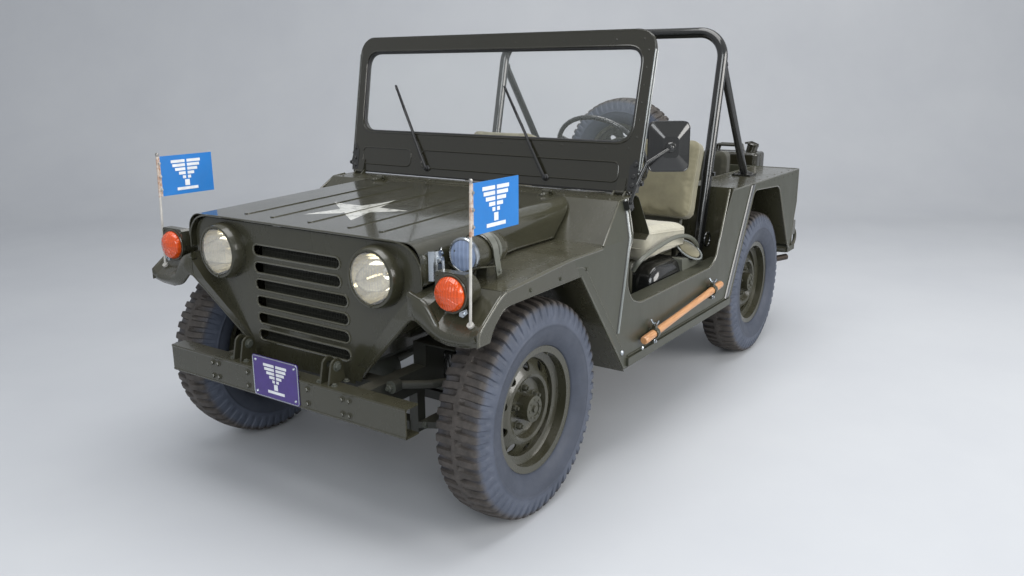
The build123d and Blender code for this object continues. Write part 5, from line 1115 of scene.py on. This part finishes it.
# Ribs of the cab and load floor, rivets of the deck and the cowl, and the cowl's vent
bm = bmesh.new()
for y in (-620, -540, -460, -300, -220, 220, 300, 460, 540, 620):
    rod(bm, at_y(y, (-700, 400), (-1030 if y > 0 else -1560, 400)), 4.5, 8)
for y in range(-440, 441, 110):
    rod(bm, at_y(y, (-1700, 540), (-2560, 540)), 5, 8)
for side in SIDES:
    for y in (600, 760):
        rivets(bm, (-1730, side * y, DECK_Z), (-2600, side * y, DECK_Z), 8, UP)
    rod(bm, at_y(side * 524, (-1690, 948), (-2696, 948)), 4.5, 8)
finish("floor_ribs", bm, green_dull)
bm = bmesh.new()
rivets(bm, (-560, -700, 1034), (-560, 700, 1034), 15, P(0.05, 0, 1))
rivets(bm, (-712, -700, 1015), (-712, 700, 1015), 13, P(-1, 0, 0.15))
vent = [(-585, -250, 1035), (-585, 250, 1035), (-640, 250, 1037), (-640, -250, 1037)]
rod(bm, vent, 3, 8, closed=True, bend=20)
finish("cowl_fittings", bm, green)

# Cushions: swollen by a short cloth simulation in metres, then piped along their edges
PAD_VOXEL, PAD_SHRINK, SWELL_CAP, SWELL_FRAMES = 0.0085, 0.006, 0.016, 20
STITCH_R, STITCH_GAP = 3, 12


def swell(obj):
    """Inflates a closed mesh with pressure, and lets no point move further than the cap."""
    scene = bpy.context.scene
    start = [v.co.copy() for v in obj.data.vertices]
    mod = obj.modifiers.new("cloth", "CLOTH")
    s = mod.settings
    s.quality, s.mass = 5, 0.3
    s.tension_stiffness = s.compression_stiffness = 15
    s.bending_stiffness = 0.6
    s.use_pressure, s.uniform_pressure_force = True, 4
    s.effector_weights.gravity = 0
    mod.collision_settings.use_self_collision = False
    mod.collision_settings.use_collision = False
    mod.point_cache.frame_start, mod.point_cache.frame_end = 1, SWELL_FRAMES
    for number in range(1, SWELL_FRAMES + 1):
        scene.frame_set(number)
        bpy.context.view_layer.update()
    shaped = obj.evaluated_get(bpy.context.evaluated_depsgraph_get())
    moved = [v.co.copy() for v in shaped.data.vertices]
    obj.modifiers.remove(mod)
    scene.frame_set(1)
    for v, a, b in zip(obj.data.vertices, start, moved):
        way = b - a
        v.co = a + (way if way.length < SWELL_CAP else way.normalized() * SWELL_CAP)


def loops_at(obj, point, normal):
    """Closed curves where a plane of the drawing cuts a piece, each as points in order."""
    bm = bmesh.new()
    bm.from_mesh(obj.data)
    bmesh.ops.transform(bm, matrix=DRAWING.inverted(), verts=bm.verts)
    everything = bm.verts[:] + bm.edges[:] + bm.faces[:]
    cut = bmesh.ops.bisect_plane(bm, geom=everything, plane_co=point, plane_no=normal)["geom_cut"]
    edges = dict.fromkeys(e for e in cut if isinstance(e, bmesh.types.BMEdge))
    loops = []
    while edges:
        first, at = edges.popitem()[0].verts
        line = [first, at]
        while True:
            step = next((k for k in at.link_edges if k in edges), None)
            if step is None:
                break
            del edges[step]
            at = step.other_vert(at)
            if at is first:
                break
            line.append(at)
        if len(line) > 20:
            loops.append([v.co.copy() for v in line])
    bm.free()
    return loops


def cushion(name, node, mat, piping, normal, *points):
    """Padded piece in the place of a CAD solid, with piping where planes through the points cut it."""
    obj = bpy.data.objects.new(name, nodes[node].data.copy())
    bpy.context.scene.collection.objects.link(obj)
    mod = obj.modifiers.new("remesh", "REMESH")
    mod.mode, mod.voxel_size = "VOXEL", PAD_VOXEL
    obj.modifiers.new("smooth", "SMOOTH").iterations = 6
    mesh = bpy.data.meshes.new_from_object(obj.evaluated_get(bpy.context.evaluated_depsgraph_get()))
    obj.modifiers.clear()
    obj.data = mesh
    mesh.name = name
    normals = [v.normal.copy() for v in mesh.vertices]
    for v, n in zip(mesh.vertices, normals):
        v.co -= n * PAD_SHRINK
    swell(obj)
    mesh.materials.clear()
    mesh.materials.append(mat)
    bm = bmesh.new()
    for point in points:
        for line in loops_at(obj, point, normal):
            around = sum((line[i] - line[i - 1]).length for i in range(len(line)))
            seam = even_path(line, max(12, int(around / STITCH_GAP)), 3, closed=True)
            rod(bm, seam, STITCH_R, 8, closed=True)
    finish(name + "_piping", bm, piping)
    mod = obj.modifiers.new("fine", "SUBSURF")
    mod.levels = mod.render_levels = 1
    mesh.shade_smooth()
    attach(obj, "chassis")
    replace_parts(obj, node)


SEAT_SLOPE = P(-45, 0, 445).normalized()
BACK_FACE = heading(FRONT, UP, 17)
BACK_LOW = P(-1402, 0, 822)
cushion("front_cushions_sewn", "front_seat_cushions", cream, cream, SEAT_SLOPE,
        P(-1180, 0, 806), P(-1180, 0, 742))
cushion("front_backs_sewn", "front_seat_backs", tan, faded, BACK_FACE,
        BACK_LOW - BACK_FACE * 18, BACK_LOW - BACK_FACE * 66)
cushion("bench_cushion_sewn", "rear_seat_cushion", dark_canvas, dark_canvas, UP,
        P(-2150, 0, 774), P(-2150, 0, 708))
cushion("bench_back_sewn", "rear_seat_back", dark_canvas, dark_canvas, FRONT,
        P(-2394, 0, 935), P(-2448, 0, 935))

# Stage, light and camera, all in the frame's metres
scene = bpy.context.scene
scene.view_settings.view_transform = "Standard"
YAW, PITCH, ROLL = 214.419, -14.321, -0.303

# Floor that turns up into a backdrop behind the car, far from it
STAGE_NEAR, STAGE_FAR, STAGE_HALF, STAGE_TOP, SWEEP_R = 9.0, -4.5, 13.0, 9.0, 2.5
sweep = [(STAGE_NEAR, 0.0)]
for angle in range(0, 91, 10):
    sweep.append((STAGE_FAR - SWEEP_R * sin(radians(angle)), SWEEP_R * (1 - cos(radians(angle)))))
sweep.append((STAGE_FAR - SWEEP_R, STAGE_TOP))
along, across = heading(FRONT, LEFT, YAW - 180), heading(LEFT, -FRONT, YAW - 180)
bm = bmesh.new()
sheet(bm, [[along * x + across * y + UP * z for y in (-STAGE_HALF, STAGE_HALF)] for x, z in sweep])
floor = Tree("stage_floor")
floor.put(Base_Color=floor.cloud(1.2, 4, 0.6, (0.50, 0.515, 0.54), (0.53, 0.545, 0.565)), Roughness=0.42,
          Specular_IOR_Level=0.35)
new_object("stage_floor", bm, [floor.mat])

scene.world = bpy.data.worlds.new("soft_room")
scene.world.use_nodes = True
sky = scene.world.node_tree.nodes["Background"]
sky.inputs["Color"].default_value = (0.92, 0.95, 1.0, 1)
sky.inputs["Strength"].default_value = 0.55


def area(name, location, target, size, power, colour=(1, 1, 1)):
    """Rectangular lamp that faces a target."""
    data = bpy.data.lights.new(name, "AREA")
    data.shape = "RECTANGLE"
    data.size, data.size_y = size
    data.energy = power
    data.color = colour
    lamp = bpy.data.objects.new(name, data)
    lamp.location = location
    lamp.rotation_mode = "QUATERNION"
    lamp.rotation_quaternion = (Vector(target) - Vector(location)).to_track_quat("-Z", "Y")
    scene.collection.objects.link(lamp)


area("window_left", (-1.0, 7.5, 3.2), (0.2, 0.0, 0.7), (6.0, 3.0), 420, (1.0, 0.98, 0.95))
area("ceiling", (0.3, 0.5, 5.5), (0.2, 0.0, 0.0), (5.0, 3.5), 220)
area("window_front", (6.5, 3.5, 4.2), (0.8, 0.0, 0.6), (4.0, 3.0), 200, (0.95, 0.98, 1.0))
area("window_back", (-6.0, -4.5, 4.0), (0.0, 0.0, 1.0), (5.0, 2.5), 200)

CAMERA_AT = (3.4925, 2.1528, 1.5071)
forward = heading(heading(FRONT, LEFT, YAW), UP, PITCH)
right = forward.cross(UP).normalized()
above = right.cross(forward)
cam_data = bpy.data.cameras.new("photo_camera")
cam_data.lens, cam_data.sensor_width, cam_data.sensor_fit = 30.0, 36.0, "HORIZONTAL"
cam_data.clip_start, cam_data.clip_end = 0.05, 60
camera = bpy.data.objects.new("photo_camera", cam_data)
turn = Matrix((heading(right, above, ROLL), heading(above, -right, ROLL), -forward)).transposed().to_4x4()
camera.matrix_world = Matrix.Translation(CAMERA_AT) @ turn
scene.collection.objects.link(camera)
scene.camera = camera
